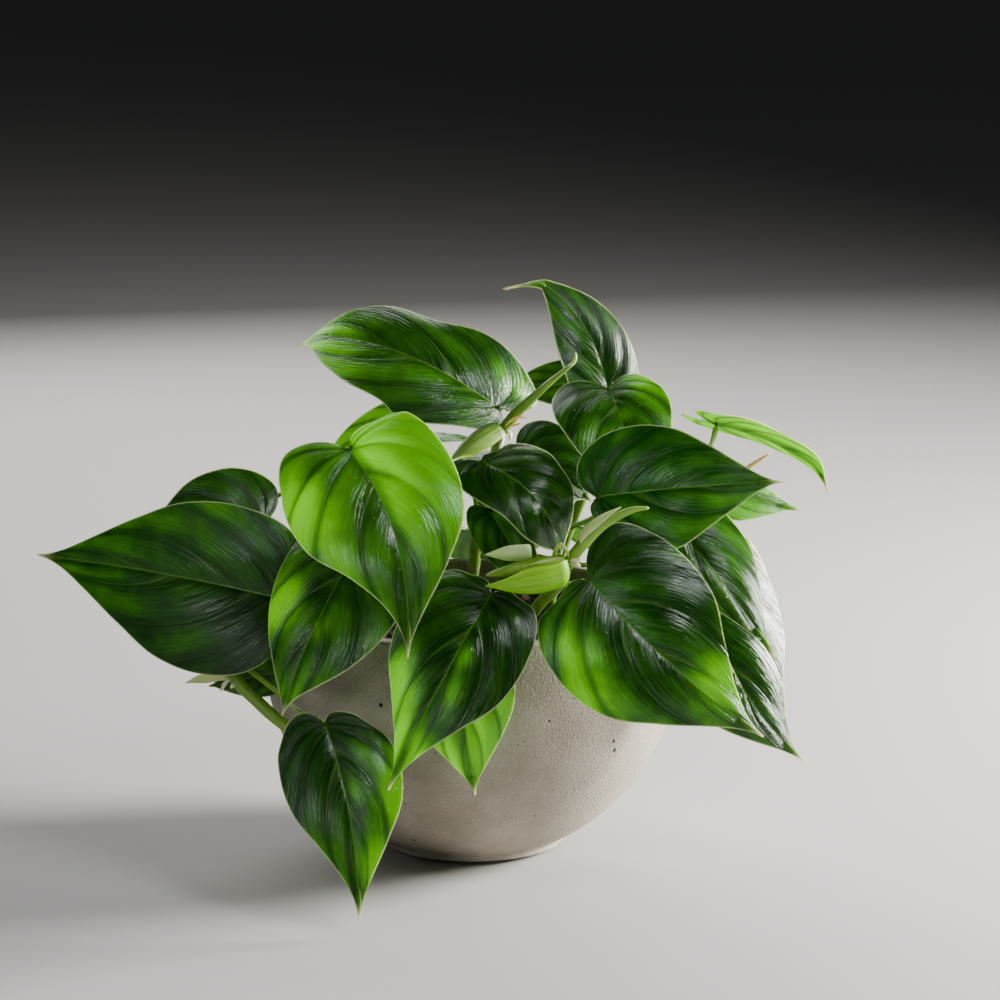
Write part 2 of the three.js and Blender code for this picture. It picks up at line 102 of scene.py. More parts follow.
def fade(tree, value, start, end, low=0.0, high=1.0):
    """Goes softly from low to high while the value goes from start to end."""
    values = {"Value": value, "From Min": start, "From Max": end, "To Min": low, "To Max": high}
    return add_node(tree, "ShaderNodeMapRange", values, interpolation_type="SMOOTHSTEP").outputs[0]


def tinted(tree, share, first, second, blend="MIX"):
    """A colour between two, by a share."""
    return add_node(tree, "ShaderNodeMix", {0: share, 6: first, 7: second},
                    data_type="RGBA", blend_type=blend).outputs[2]


def object_place(tree):
    """The place on the piece, in metres."""
    return add_node(tree, "ShaderNodeTexCoord").outputs["Object"]


def clouds(tree, place, scale, detail=3.0, roughness=0.55):
    """Soft uneven noise from 0 to 1; the scale is in patches per unit of place."""
    values = {"Vector": place, "Scale": scale, "Detail": detail, "Roughness": roughness}
    return add_node(tree, "ShaderNodeTexNoise", values).outputs[0]


def relief(tree, height, distance, strength=1.0, under=None):
    """Raises the surface by a height from 0 to 1 times the distance, in metres."""
    values = {"Height": height, "Distance": distance, "Strength": strength}
    if under is not None:
        values["Normal"] = under
    return add_node(tree, "ShaderNodeBump", values).outputs[0]


def specks(tree, place, scale):
    """Scattered specks: how far off the nearest one is, and a number from 0 to 1 drawn for it."""
    cells = add_node(tree, "ShaderNodeTexVoronoi", {"Vector": place, "Scale": scale})
    drawn = add_node(tree, "ShaderNodeSeparateColor", {0: cells.outputs["Color"]}).outputs[0]
    return cells.outputs["Distance"], drawn


def concrete():
    material, tree, shader = new_material("pot_concrete")
    place = object_place(tree)
    clouded = fade(tree, clouds(tree, place, 22, 5), 0.32, 0.7)
    grain = clouds(tree, place, 850, 3, 0.55)
    sand = clouds(tree, place, 1500, 2, 0.5)
    speckle = fade(tree, sand, 0.35, 0.7, 0.86, 1.08)
    speckled = add_node(tree, "ShaderNodeCombineColor", dict.fromkeys(range(3), speckle)).outputs[0]
    tone = tinted(tree, clouded, CONCRETE_DARK, CONCRETE_PALE)
    tone = tinted(tree, 1.0, tone, speckled, "MULTIPLY")
    holes = 0.0
    for scale, share, radius in AIR_HOLES:
        away, drawn = specks(tree, place, scale)
        size = fade(tree, drawn, share, 1.0, 0.0, radius)
        holes = figure(tree, "MAXIMUM", holes, figure(tree, "GREATER_THAN", size, away))
    peel = relief(tree, grain, 0.0007, 0.7)
    fine = relief(tree, sand, 0.0003, 0.5, peel)
    sunk = relief(tree, figure(tree, "SUBTRACT", 1.0, holes), 0.0006, 1.0, fine)
    fill(tree, shader, {"Base Color": tinted(tree, holes, tone, CONCRETE_HOLE), "Normal": sunk,
                        "Roughness": 0.82, "Specular IOR Level": 0.35})
    return material


def placed(name, data):
    """Puts a mesh, a light or a camera into the scene."""
    thing = bpy.data.objects.new(name, data)
    bpy.context.scene.collection.objects.link(thing)
    return thing


def finished(mesh, name, materials, slot, *nodes):
    """Turns a mesh in millimetres into a piece that rides on the plant and stands for its nodes."""
    bmesh.ops.scale(mesh, vec=(MM, MM, MM), verts=mesh.verts)
    for face in mesh.faces:
        face.smooth = True
    data = bpy.data.meshes.new(name)
    mesh.to_mesh(data)
    mesh.free()
    piece = placed(name, data)
    for material in materials:
        data.materials.append(material)
    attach(piece, "root")
    if nodes:
        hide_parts(*nodes)
    return piece


def ball_width(radius, height):
    """How far a ball round the middle of the bowl reaches out at a height."""
    return math.sqrt(radius ** 2 - (height - BOWL_CENTRE) ** 2)


def arc(centre, radius, start, end):
    """Points of a round corner, from one angle to another in degrees."""
    turns = [math.radians(start + (end - start) * i / ARC_STEPS) for i in range(ARC_STEPS + 1)]
    return [(centre[0] + radius * math.cos(turn), centre[1] + radius * math.sin(turn))
            for turn in turns]


shoulder = RIM_TOP - RIM_ROUND
rim_edge = ball_width(BOWL_RADIUS, shoulder)
pot_profile = [(0, POT_UNDERSIDE)]
pot_profile += arc((FOOT_RADIUS - FOOT_ROUND, POT_UNDERSIDE + FOOT_ROUND), FOOT_ROUND, -90, 0)
pot_profile += [(FOOT_RADIUS, FOOT_TOP - 0.4), (FOOT_RADIUS + 0.5, FOOT_TOP + 0.1)]
for ring in range(BOWL_RINGS):
    height = BOWL_START + (shoulder - BOWL_START) * ring / BOWL_RINGS
    pot_profile.append((ball_width(BOWL_RADIUS, height), height))
pot_profile += arc((rim_edge - RIM_ROUND, shoulder), RIM_ROUND, 0, 90)
pot_profile += arc((rim_edge - WALL + RIM_ROUND, shoulder), RIM_ROUND, 90, 180)
for ring in range(1, BOWL_RINGS // 2):
    height = shoulder + (INSIDE_FLOOR - shoulder) * ring / (BOWL_RINGS // 2)
    pot_profile.append((ball_width(BOWL_RADIUS - WALL, height), height))
pot_profile.append((0, INSIDE_FLOOR))

pot = bmesh.new()
corners = [pot.verts.new((reach, 0, height)) for reach, height in pot_profile]
edges = [pot.edges.new(pair) for pair in zip(corners, corners[1:])]
bmesh.ops.spin(pot, geom=corners + edges, axis=(0, 0, 1), cent=(0, 0, 0), angle=2 * math.pi,
               steps=BOWL_STEPS, use_merge=True)
bmesh.ops.remove_doubles(pot, verts=pot.verts, dist=0.001)
bmesh.ops.recalc_face_normals(pot, faces=pot.faces)
for vert in pot.verts:
    if vert.co.z > BOWL_START and vert.co.xy.length > BOWL_RADIUS - WALL - 2:
        uneven = noise.noise(vert.co / CAST_PATCH)
        vert.co += vert.co.xy.normalized().to_3d() * uneven * CAST_UNEVENNESS
finished(pot, "pot_bowl", [concrete()], "pot", "pot")


# The pad is a dark disc of felted rubber under the foot. It keeps its own shape.
PAD_DARK = (0.012, 0.011, 0.010, 1)
PAD_WORN = (0.035, 0.033, 0.030, 1)


def rubber():
    material, tree, shader = new_material("pad_rubber")
    grain = clouds(tree, object_place(tree), 900, 4)
    fill(tree, shader, {"Base Color": tinted(tree, grain, PAD_DARK, PAD_WORN), "Roughness": 0.9,
                        "Normal": relief(tree, grain, 0.0003, 0.6)})
    return material


def refinish(node, material):
    """Gives a node that keeps its own shape a better material."""
    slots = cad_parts[node].data.materials
    slots.clear()
    slots.append(material)


refinish("base_pad", rubber())


# The soil is a dark peat mix, heaped a little in the middle. It keeps its own shape, and loose
# crumbs, bark chips and white perlite lie on it as a piece of their own.
SOIL_TOP = 92
SOIL_HEAVE = 2
SOIL_REACH = 77
CRUMBS = 420
CHIPS = 70
PERLITE = 34
CRUMB_SEED = 5
CRUMB_UNEVENNESS = 0.22
SOIL_DARK = (0.012, 0.008, 0.005, 1)
SOIL_BROWN = (0.055, 0.034, 0.019, 1)
BARK_BROWN = (0.11, 0.058, 0.027, 1)
PERLITE_WHITE = (0.62, 0.60, 0.55, 1)


def peat(name, dark, pale):
    material, tree, shader = new_material(name)
    place = object_place(tree)
    lumps = clouds(tree, place, 240, 5, 0.7)
    grain = clouds(tree, place, 1100, 3, 0.6)
    rough = relief(tree, grain, 0.0008, 0.8, relief(tree, lumps, 0.004, 0.9))
    fill(tree, shader, {"Base Color": tinted(tree, fade(tree, lumps, 0.35, 0.7), dark, pale),
                        "Roughness": 0.95, "Normal": rough})
    return material


def scatter(mesh, draw, count, sizes, flatness, material_index):
    """Lays small lumps on the soil, each squeezed and turned its own way."""
    for _ in range(count):
        reach = SOIL_REACH * math.sqrt(draw.random())
        turn = draw.uniform(0, 2 * math.pi)
        size = draw.uniform(*sizes)
        height = SOIL_TOP + 0.3 + SOIL_HEAVE * (1 - reach / SOIL_REACH) + 0.25 * size
        place = Matrix.Translation((reach * math.cos(turn), reach * math.sin(turn), height))
        tumble = (Matrix.Rotation(draw.uniform(0, math.pi), 4, "Z")
                  @ Matrix.Rotation(draw.uniform(-0.5, 0.5), 4, "X"))
        squeeze = Matrix.Diagonal((size, size * draw.uniform(0.5, 0.9), size * flatness, 1))
        lump = bmesh.ops.create_icosphere(mesh, subdivisions=1, radius=1,
                                          matrix=place @ tumble @ squeeze)
        for vert in lump["verts"]:
            vert.co += noise.noise_vector(vert.co / 2) * size * CRUMB_UNEVENNESS
        for face in {face for vert in lump["verts"] for face in vert.link_faces}:
            face.material_index = material_index


refinish("soil", peat("soil_peat", SOIL_DARK, SOIL_BROWN))
crumbs = bmesh.new()
draw = random.Random(CRUMB_SEED)
noise.seed_set(CRUMB_SEED)  # without it, the lumps are uneven in another way on each run
scatter(crumbs, draw, CRUMBS, (0.7, 2.2), 0.7, 0)
scatter(crumbs, draw, CHIPS, (2.0, 4.8), 0.35, 1)
scatter(crumbs, draw, PERLITE, (0.9, 2.0), 0.8, 2)
finished(crumbs, "soil_crumbs",
         [peat("crumb_peat", SOIL_DARK, SOIL_BROWN), peat("bark_chip", SOIL_BROWN, BARK_BROWN),
          peat("perlite_grain", PERLITE_WHITE, PERLITE_WHITE)], "soil")


# The vines are smooth round stems, rooted in the soil. Each swells into a ring where a leaf
# stalk leaves it, and the ring carries a brown scar. The stalks widen at their foot and thicken
# again under the blade. They are green to olive, with fine lines and corky spots along them.
# Low down they darken to brown towards the soil, partly old bark and partly painted shade where
# they rise through the shadow under the leaves.
STALK_RADIUS = 1.15
STALK_LIFT = 0.35
STALK_ARRIVAL = 0.4
ARRIVAL_RISE = 0.6
STALK_CLEARANCE = 0.65
ROOTED_DEPTH = 16
LENGTH_STEPS = 200
STEM_AROUND = 20
STEM_STEP = 1.6
STALK_AROUND = 14
STALK_STEPS = 40
NODE_SWELLING = 0.55
NODE_LENGTH = 2.2
SCAR_LENGTH = 0.7
FOOT_FLARE = 1.0
FOOT_LENGTH = 4
NECK_SWELLING = 0.3
NECK_LENGTH = 5
STALK_SLIMMER = 0.12
MAPPED_LENGTH = 100
STEM_OLIVE = (0.075, 0.17, 0.008, 1)
STEM_FRESH = (0.30, 0.56, 0.05, 1)
STEM_SCAR = (0.16, 0.085, 0.035, 1)
# A dark brown for the foot of each vine: old bark, darkened further as painted shade.
STEM_BARK_AND_SHADE = (0.055, 0.045, 0.02, 1)
BARK_AND_SHADE_LENGTH = 45

STEMS = {
    "stem_left": dict(
        root=(-46, -14), radius=2.6, end=2.2, thins=0.9, fresh=0.7,
        route=[(-58, -20, 118), (-80, -32, 124), (-95, -42, 108), (-98, -47, 86), (-86, -53, 73),
               (-68, -62, 60)]),
    "stem_front": dict(
        root=(-16, -36), radius=2.4, end=1.4, thins=0.8, fresh=0.5,
        route=[(-22, -52, 122), (-30, -60, 142), (-36, -62, 160)]),
    "stem_centre": dict(
        root=(20, -42), radius=2.4, end=0.6, thins=0.7, fresh=0.75,
        route=[(28, -64, 118), (35, -84, 130), (40, -94, 143), (51, -97, 156), (63, -99, 163),
               (70, -99, 164)]),
    "stem_upper": dict(
        root=(0, -12), radius=2.2, end=0.7, thins=0.75, fresh=0.35,
        route=[(2, -18, 135), (8, -30, 165), (14, -46, 187), (28, -54, 203), (41, -54, 214)]),
    "stem_right": dict(
        root=(32, -10), radius=2.2, end=1.4, thins=0.8, fresh=0.6,
        route=[(38, -14, 130), (47, -17, 155), (53, -14, 172)]),
    "stem_right_low": dict(
        root=(54, -22), radius=2.4, end=1.4, thins=0.8, fresh=0.5,
        route=[(66, -24, 118), (78, -24, 130), (92, -14, 146)]),
    "stem_back": dict(
        root=(14, 30), radius=2.4, end=1.4, thins=0.8, fresh=0.4,
        route=[(15, 33, 118), (16, 34, 135), (16, 30, 152)]),
    "stem_back_left": dict(
        root=(-34, 26), radius=2.2, end=1.4, thins=0.8, fresh=0.45,
        route=[(-35, 27, 115), (-34, 26, 130), (-31, 22, 146)]),
}

# Each leaf, as the next section uses it: its vine and where its stalk leaves it, the notch and
# the tip of the blade, the way its upper side faces (degrees right of the front, degrees up),
# then its two halves, left and right with the tip hanging: their width, the rise of the margin
# and the drawn lobe, which is drawn in full from a share of the way out. Then the arch, sweep,
# taper and waves of the blade, the last bend of its tail and where it starts, the depth of its
# pleats, how young it is (0 deep green, 1 yellow-green), how much younger the left margin, the
# right margin and the tip are, and its painted light and shade: soft patches of brighter or
# darker green, painted glow where light comes through the blade and painted shade where it lies
# in shadow, each by its place across and along, its size and its amount.
LEAVES = {
    "leaf_left_wide": dict(
        stem="stem_left", at=0.42, sinus=(-74, -58, 118), tip=(-180, -22, 129), face=(-10, 15),
        half=(33, 37), sweep=-1.5, lobes=(0.1, 0.12), taper=0.25, pleat=0.6, youth_and_painted_light=0.05,
        tint=(0.15, 0, 0.1)),
    "leaf_left_behind": dict(
        stem="stem_left", at=0.28, sinus=(-88, 2, 138), tip=(-137, -6, 136), face=(-20, 30),
        half=(24, 22), arch=4, taper=-0.2, pleat=0.6, youth_and_painted_light=0.1),
    "leaf_left_front": dict(
        stem="stem_front", at=0.6, sinus=(-44, -80, 145), tip=(-75, -104, 82), face=(-22, 15),
        half=(26, 30), arch=5, rise=(-2, -2), tail=(1, -1), pleat=1.5, youth_and_painted_light=0.1,
        tint=(0.1, 0.1, 0.2),
        painted_light_and_shade=[(-0.68, 0.44, 0.32, 1.0), (0, 0.92, 0.2, 0.7), (0.05, 0.5, 0.14, 0.6),
               (0.95, 0.42, 0.25, 0.5), (-0.2, 0.3, 0.2, -0.2)]),
    "leaf_bright": dict(
        stem="stem_front", at=0.95, sinus=(-47, -88, 185), tip=(-24, -122, 109), face=(0, 20),
        half=(36.5, 32), arch=8, rise=(-2, -2), sweep=8, lobes=(0.03, 0.06), taper=0.45, pleat=1.3,
        youth_and_painted_light=0.5, tint=(0.1, 0.2, 0),
        painted_light_and_shade=[(0.5, -0.1, 0.45, 0.75), (0.7, 0.24, 0.5, 0.8), (0.3, 0.3, 0.2, 0.25),
               (-0.85, 0.15, 0.3, 0.5), (-0.4, -0.05, 0.3, -0.15), (-0.2, 0.35, 0.2, -0.25),
               (0.05, 0.7, 0.28, -0.3)]),
    "leaf_upper_left": dict(
        stem="stem_upper", at=0.62, sinus=(11, -38, 193.5), tip=(-72, -12, 220), face=(0, 50),
        half=(27, 27), arch=12, rise=(-1, -2), lobes=(0.04, 0.24), lobe_edge=1, taper=-0.7,
        tail=(0, -9), wave=3, phase=-1.9, pleat=0.55, youth_and_painted_light=0.12, tint=(0, 0.1, 0.1),
        painted_light_and_shade=[(0, 0.85, 0.38, 0.6), (0.6, 0.7, 0.34, 0.4), (-0.5, -0.05, 0.25, 0.6),
               (0.2, 0.35, 0.3, 0.15)]),
    "leaf_top": dict(
        stem="stem_back", at=0.97, sinus=(57, 8, 192), tip=(24.3, 23.6, 240.2), face=(20, 28),
        half=(15.5, 18), arch=3, rise=(1, 1), sweep=-6.5, tail=(15.4, 0), tail_start=0.86,
        via=[(26, 24, 164), (45, 16, 182)], pleat=1.2, youth_and_painted_light=0.05, tint=(0, 0.1, 0.1),
        painted_light_and_shade=[(0, 1, 0.2, 1.2)]),
    "leaf_upper_heart": dict(
        stem="stem_right", at=0.9, sinus=(57, -15, 197), tip=(68, -46, 158), face=(10, 25),
        half=(26, 23), rise=(-2, -2), taper=-0.2, pleat=0.9, youth_and_painted_light=0.12, tint=(0, 0.2, 0),
        painted_light_and_shade=[(0.6, -0.05, 0.35, 0.55), (0.05, 0.3, 0.12, 0.5), (-0.5, 0.45, 0.22, 0.5)]),
    "leaf_right_glossy": dict(
        stem="stem_right", at=0.5, sinus=(51, -66, 162), tip=(124, -76, 170), face=(10, 25),
        half=(25.5, 27), arch=4, rise=(-2, 1), lobes=(0.25, 0.07), lobe_edge=1, taper=0.25,
        pleat=1.3, youth_and_painted_light=0.0, tint=(0.15, 0, 0.25)),
    "leaf_right_edge_on": dict(
        stem="stem_right_low", at=0.95, sinus=(103, 8, 179), tip=(154, 26, 152), face=(180, 70),
        half=(12, 12), arch=4, rise=(1, 1), lobes=(-0.06, -0.06), tail=(0, -7), taper=-0.7,
        pleat=0.4, youth_and_painted_light=0.7),
    "leaf_right_small": dict(
        stem="stem_right_low", at=0.9, sinus=(90, -22, 156), tip=(137, -14, 146), face=(0, 30),
        half=(12, 10), arch=4, rise=(1, 1), taper=0.2, pleat=0.4, youth_and_painted_light=0.8, tint=(0, 0, 0.2)),
    "leaf_right_middle": dict(
        stem="stem_right_low", at=0.6, sinus=(79, -48, 151), tip=(123, -66, 95), face=(30, 15),
        half=(14, 23), arch=4, rise=(-4, -2), taper=0.35, pleat=1.1, youth_and_painted_light=0.2, tint=(0, 0, 0.3)),
    "leaf_right_wide": dict(
        stem="stem_centre", at=0.5, sinus=(47, -90, 133), tip=(116, -100, 72), face=(0, 20),
        half=(35.5, 35), arch=7, rise=(-2, -2), sweep=-4, lobes=(0.1, 0.03), taper=0.38, pleat=1.5,
        youth_and_painted_light=0.05, tint=(0.05, 0.05, 0.1),
        painted_light_and_shade=[(0.2, 0.74, 0.3, 1.2), (-0.62, 0.18, 0.22, 0.6), (-0.85, 0.36, 0.22, 0.5)]),
    "leaf_right_low": dict(
        stem="stem_right_low", at=0.5, sinus=(96, -40, 123), tip=(137, -50, 48), face=(20, 15),
        half=(28, 32), arch=4, rise=(-7, -7), sweep=-10, taper=0.3, pleat=1.3, youth_and_painted_light=0.05,
        tint=(0, 0, 0.2)),
    "leaf_front": dict(
        stem="stem_front", at=0.45, sinus=(8, -94, 128), tip=(-32, -118, 55), face=(-10, 15),
        half=(27, 26), arch=7, rise=(-2, -2), lobes=(0.08, 0.08), taper=0.45, pleat=1.4, youth_and_painted_light=0.05,
        tint=(0.1, 0, 0),
        painted_light_and_shade=[(-0.1, 0.86, 0.36, 1.5), (-0.62, 0.6, 0.34, 1.2), (0.13, 0.3, 0.14, 0.6),
               (0.2, 0.48, 0.16, 0.5), (-0.3, 0.38, 0.18, -0.2)]),
    "leaf_front_small": dict(
        stem="stem_front", at=0.35, sinus=(-6, -94, 106), tip=(2, -100, 48), face=(0, 5),
        half=(22, 22), arch=2, rise=(-1, -1), lobes=(0.03, 0.03), taper=0.2,
        via=[(-11, -76, 113), (-8, -89, 110)], pleat=0.8, youth_and_painted_light=0.85, tint=(0, 0, 0.2)),
    "leaf_lowest": dict(
        stem="stem_left", at=0.7, sinus=(-57, -104, 78), tip=(-43, -132, 7), face=(0, 20),
        half=(23.5, 23.5), arch=4, rise=(-2, -2), sweep=3.5, lobes=(0.08, 0.16), lobe_edge=0.7,
        taper=0.35, via=[(-77, -64, 80), (-68, -90, 80)], pleat=1.0, youth_and_painted_light=0.05,
        tint=(0, 0.1, 0.35),
        painted_light_and_shade=[(0.9, 0.42, 0.36, 1.3), (0.35, 0.75, 0.26, 0.9), (0.4, 0.2, 0.18, 0.4),
               (0.16, 0.36, 0.12, 0.4)]),
    "leaf_centre_glossy": dict(
        stem="stem_upper", at=0.4, sinus=(5, -66, 176), tip=(36, -70, 137), face=(20, 35),
        half=(16, 21), arch=15, rise=(-3, -3), lobes=(0, 0.12), taper=-0.6, pleat=1.6, youth_and_painted_light=0.08),
    "leaf_hazy": dict(
        stem="stem_upper", at=0.35, sinus=(20, -21, 171.5), tip=(49.5, -25, 152), face=(17, 30),
        half=(19, 19), arch=4, rise=(1, 1), pleat=0.8, youth_and_painted_light=0.05),
    "leaf_centre_low": dict(
        stem="stem_upper", at=0.3, sinus=(8, -50, 153), tip=(30, -56, 120), face=(-10, 10),
        half=(12, 10), arch=3, rise=(1, 1), pleat=0.4, youth_and_painted_light=0.1),
    "leaf_upper_dark": dict(
        stem="stem_back", at=0.9, sinus=(53, 26, 193), tip=(12, 18, 193), face=(-10, 20),
        half=(11, 11), arch=3, rise=(1, 1), via=[(30, 22, 162), (48, 30, 184)], pleat=0.4,
        youth_and_painted_light=0.2),
    "leaf_behind_bright": dict(
        stem="stem_front", at=0.8, sinus=(-27, -24, 184), tip=(-66, -34, 159), face=(-10, 20),
        half=(13, 15), arch=3, rise=(1, 1), pleat=0.4, youth_and_painted_light=0.7),
    "leaf_left_under": dict(
        stem="stem_left", at=0.52, sinus=(-76, -52, 87), tip=(-109, -30, 75), face=(-20, 5),
        half=(9, 9), arch=2, rise=(-1, -1), via=[(-84, -42, 100), (-77, -46, 91)], pleat=0.3,
        youth_and_painted_light=0.3),
}

# The leaves round the back stand in two tiers, spread by angle from the back to the right.
BACK_TIERS = {
    "leaf_back_low": dict(
        stems=("stem_back_left", "stem_back_left", "stem_back", "stem_back", "stem_back"), at=0.28,
        turns=(-68, -34, 0, 34, 68), notch=(64, 122), tip=(124, 88), stagger=6, face_up=48,
        half=24),
    "leaf_back_high": dict(
        stems=("stem_back_left", "stem_back_left", "stem_back"), at=0.72,
        turns=(-64, -24, 18), notch=(44, 158), tip=(98, 138), stagger=8, face_up=62, half=22),
}
BACK_YOUTH = (0.1, 0.3, 0.05, 0.2, 0.5)
USUAL_LEAF = dict(arch=6, rise=(2, 2), lobes=(0, 0), lobe_edge=0.4, sweep=0, taper=0,
                  tail=(0, 0), tail_start=0.8, wave=0.8, phase=0, pleat=0.8, youth_and_painted_light=0.15,
                  tint=(0, 0, 0), painted_light_and_shade=(), via=None)

leaves = {name: {**USUAL_LEAF, **leaf} for name, leaf in LEAVES.items()}
for tier_name, tier in BACK_TIERS.items():
    for index, degrees in enumerate(tier["turns"]):
        turn = math.radians(degrees)
        lift = tier["stagger"] * (index % 2)
        notch, tip = ((reach * math.sin(turn), reach * math.cos(turn), height + lift)
                      for reach, height in (tier["notch"], tier["tip"]))
        leaves[f"{tier_name}_{index + 1}"] = {
            **USUAL_LEAF, "stem": tier["stems"][index], "at": tier["at"] + 0.05 * index,
            "sinus": notch, "tip": tip, "face": (180 - degrees, tier["face_up"]),
            "half": (tier["half"], tier["half"]), "rise": (-2, -2),
            "youth_and_painted_light": BACK_YOUTH[index], "tint": (0.1, 0.1, 0.2)}


def direction(right, up):
    """A direction from degrees to the right of the front and degrees up."""
    a, e = math.radians(right), math.radians(up)
    return Vector((math.sin(a) * math.cos(e), -math.cos(a) * math.cos(e), math.sin(e)))


def smooth_point(points, share):
    """A point of the smooth line through the points; the share counts points, not length."""
    place = share * (len(points) - 1)
    i = min(int(place), len(points) - 2)
    w = place - i
    a, b = points[i], points[i + 1]
    before = points[i - 1] if i > 0 else 2 * a - b
    after = points[i + 2] if i + 2 < len(points) else 2 * b - a
    d0, d1, d2 = (max(1e-4, (q - p).length) ** 0.5 for p, q in ((before, a), (a, b), (b, after)))
    start = ((a - before) / d0 - (b - before) / (d0 + d1) + (b - a) / d1) * d1
    end = ((b - a) / d1 - (after - a) / (d1 + d2) + (after - b) / d2) * d1
    return (a + start * w + (3 * (b - a) - 2 * start - end) * w ** 2
            + (2 * (a - b) + start + end) * w ** 3)


def stem_points(stem):
    """The points that a vine grows through: straight up out of its hole, then along its route."""
    straight = [(*stem["root"], SOIL_TOP + rise) for rise in (-ROOTED_DEPTH, 1, 7)]
    return [Vector(point) for point in straight + stem["route"]]


def share_at_length(points, share):
    """Where on the smooth line a share of its length is reached."""
    line = [smooth_point(points, i / LENGTH_STEPS) for i in range(LENGTH_STEPS + 1)]
    lengths = [(q - p).length for p, q in zip(line, line[1:])]
    left = share * sum(lengths)
    for i, length in enumerate(lengths):
        if left <= length:
            return (i + left / length) / LENGTH_STEPS
        left -= length
    return 1.0


def leaf_frame(leaf):
    """The notch of a blade, the ways along it, out of its face and across it, and its length."""
    notch = Vector(leaf["sinus"])
    along = Vector(leaf["tip"]) - notch
    length = along.length
    along.normalize()
    up = direction(*leaf["face"])
    up = (up - along * up.dot(along)).normalized()
    return notch, along, up, up.cross(along), length


def stalk_line(leaf):
    """A leaf stalk rises from its vine and comes to the notch of the blade from behind."""
    notch, along, up, _, _ = leaf_frame(leaf)
    vine = stem_points(STEMS[leaf["stem"]])
    start = smooth_point(vine, share_at_length(vine, leaf["at"]))
    if leaf["via"]:
        arrival = (notch - Vector(leaf["via"][-1])).normalized()
    else:
        arrival = (up + Vector((0, 0, ARRIVAL_RISE))).normalized()
    tilt = math.sqrt(max(0, 1 - arrival.dot(up) ** 2))
    end = notch - up * (STALK_CLEARANCE + STALK_RADIUS * tilt)
    if leaf["via"]:
        points = [start, *map(Vector, leaf["via"]), end]
        return lambda share: smooth_point(points, share)
    reach = (end - start).length
    first = start + Vector((0, 0, STALK_LIFT * reach))
    second = end - arrival * STALK_ARRIVAL * reach
    return lambda share: (start * (1 - share) ** 3 + first * 3 * share * (1 - share) ** 2
                          + second * 3 * share ** 2 * (1 - share) + end * share ** 3)


def laid_grid(mesh, columns, rows, point_at, uv_at):
    """Adds a grid whose corners are placed by two values each, and returns them by corner."""
    right, top = len(columns) - 1, len(rows) - 1
    layer = mesh.loops.layers.uv.get("UVMap") or mesh.loops.layers.uv.new("UVMap")
    made = bmesh.ops.create_grid(mesh, x_segments=right, y_segments=top, size=0.5)
    values = {vert: (columns[round((vert.co.x + 0.5) * right)],
                     rows[round((vert.co.y + 0.5) * top)]) for vert in made["verts"]}
    for face in {face for vert in values for face in vert.link_faces}:
        middle = sum(values[vert][0] for vert in face.verts) / len(face.verts)
        for loop in face.loops:
            loop[layer].uv = uv_at(*values[loop.vert], middle)
    for vert, (column, row) in values.items():
        vert.co = point_at(column, row)
    return values


def mark_layers(mesh, *names):
    """The values painted on the corners of a mesh, added to it before it has any corners."""
    layers = mesh.verts.layers.float
    return [layers.get(name) or layers.new(name) for name in names]


def tube(mesh, line, radius_at, around, steps, marks):
    """Adds a round stalk with closed ends along a line. The marks are values painted along it."""
    layers = mark_layers(mesh, *marks)
    centres = [line(i / steps) for i in range(steps + 1)]
    travelled = [0.0]
    for p, q in zip(centres, centres[1:]):
        travelled.append(travelled[-1] + (q - p).length)
    rings = []
    normal = Vector((0.31, 0.95, 0.05))
    for i, centre in enumerate(centres):
        tangent = (centres[min(i + 1, steps)] - centres[max(i - 1, 0)]).normalized()
        normal = (normal - tangent * normal.dot(tangent)).normalized()
        rings.append((centre, normal, tangent.cross(normal)))
    columns = [k / around for k in range(around + 1)]

    def point_at(column, row):
        centre, side, over = rings[row]
        turn = 2 * math.pi * (column % 1)
        radius = 0 if row in (0, steps) else radius_at(row / steps, travelled[row], travelled[-1])
        return centre + (side * math.cos(turn) + over * math.sin(turn)) * radius

    def uv_at(column, row, middle):
        return column, travelled[row] / MAPPED_LENGTH

    values = laid_grid(mesh, columns, list(range(steps + 1)), point_at, uv_at)
    for vert, (_, row) in values.items():
        for layer, mark_at in zip(layers, marks.values()):
            vert[layer] = mark_at(travelled[row], travelled[-1])
    bmesh.ops.remove_doubles(mesh, verts=list(values), dist=0.001)


def painted(tree, name):
    """The value painted on the corners of the piece under a name."""
    return add_node(tree, "ShaderNodeAttribute", attribute_name=name).outputs["Fac"]


def map_place(tree):
    """The place on the unrolled skin of the piece, across it and along it."""
    return add_node(tree, "ShaderNodeUVMap", uv_map="UVMap").outputs[0]


def fine_lines(tree, across, along, roughness=0.55):
    """Soft lines that run along the piece, by how many fit across it and along it."""
    values = {"Vector": map_place(tree), "Scale": (across, along, 1)}
    stretched = add_node(tree, "ShaderNodeMapping", values).outputs[0]
    return clouds(tree, stretched, 1.0, 3, roughness)


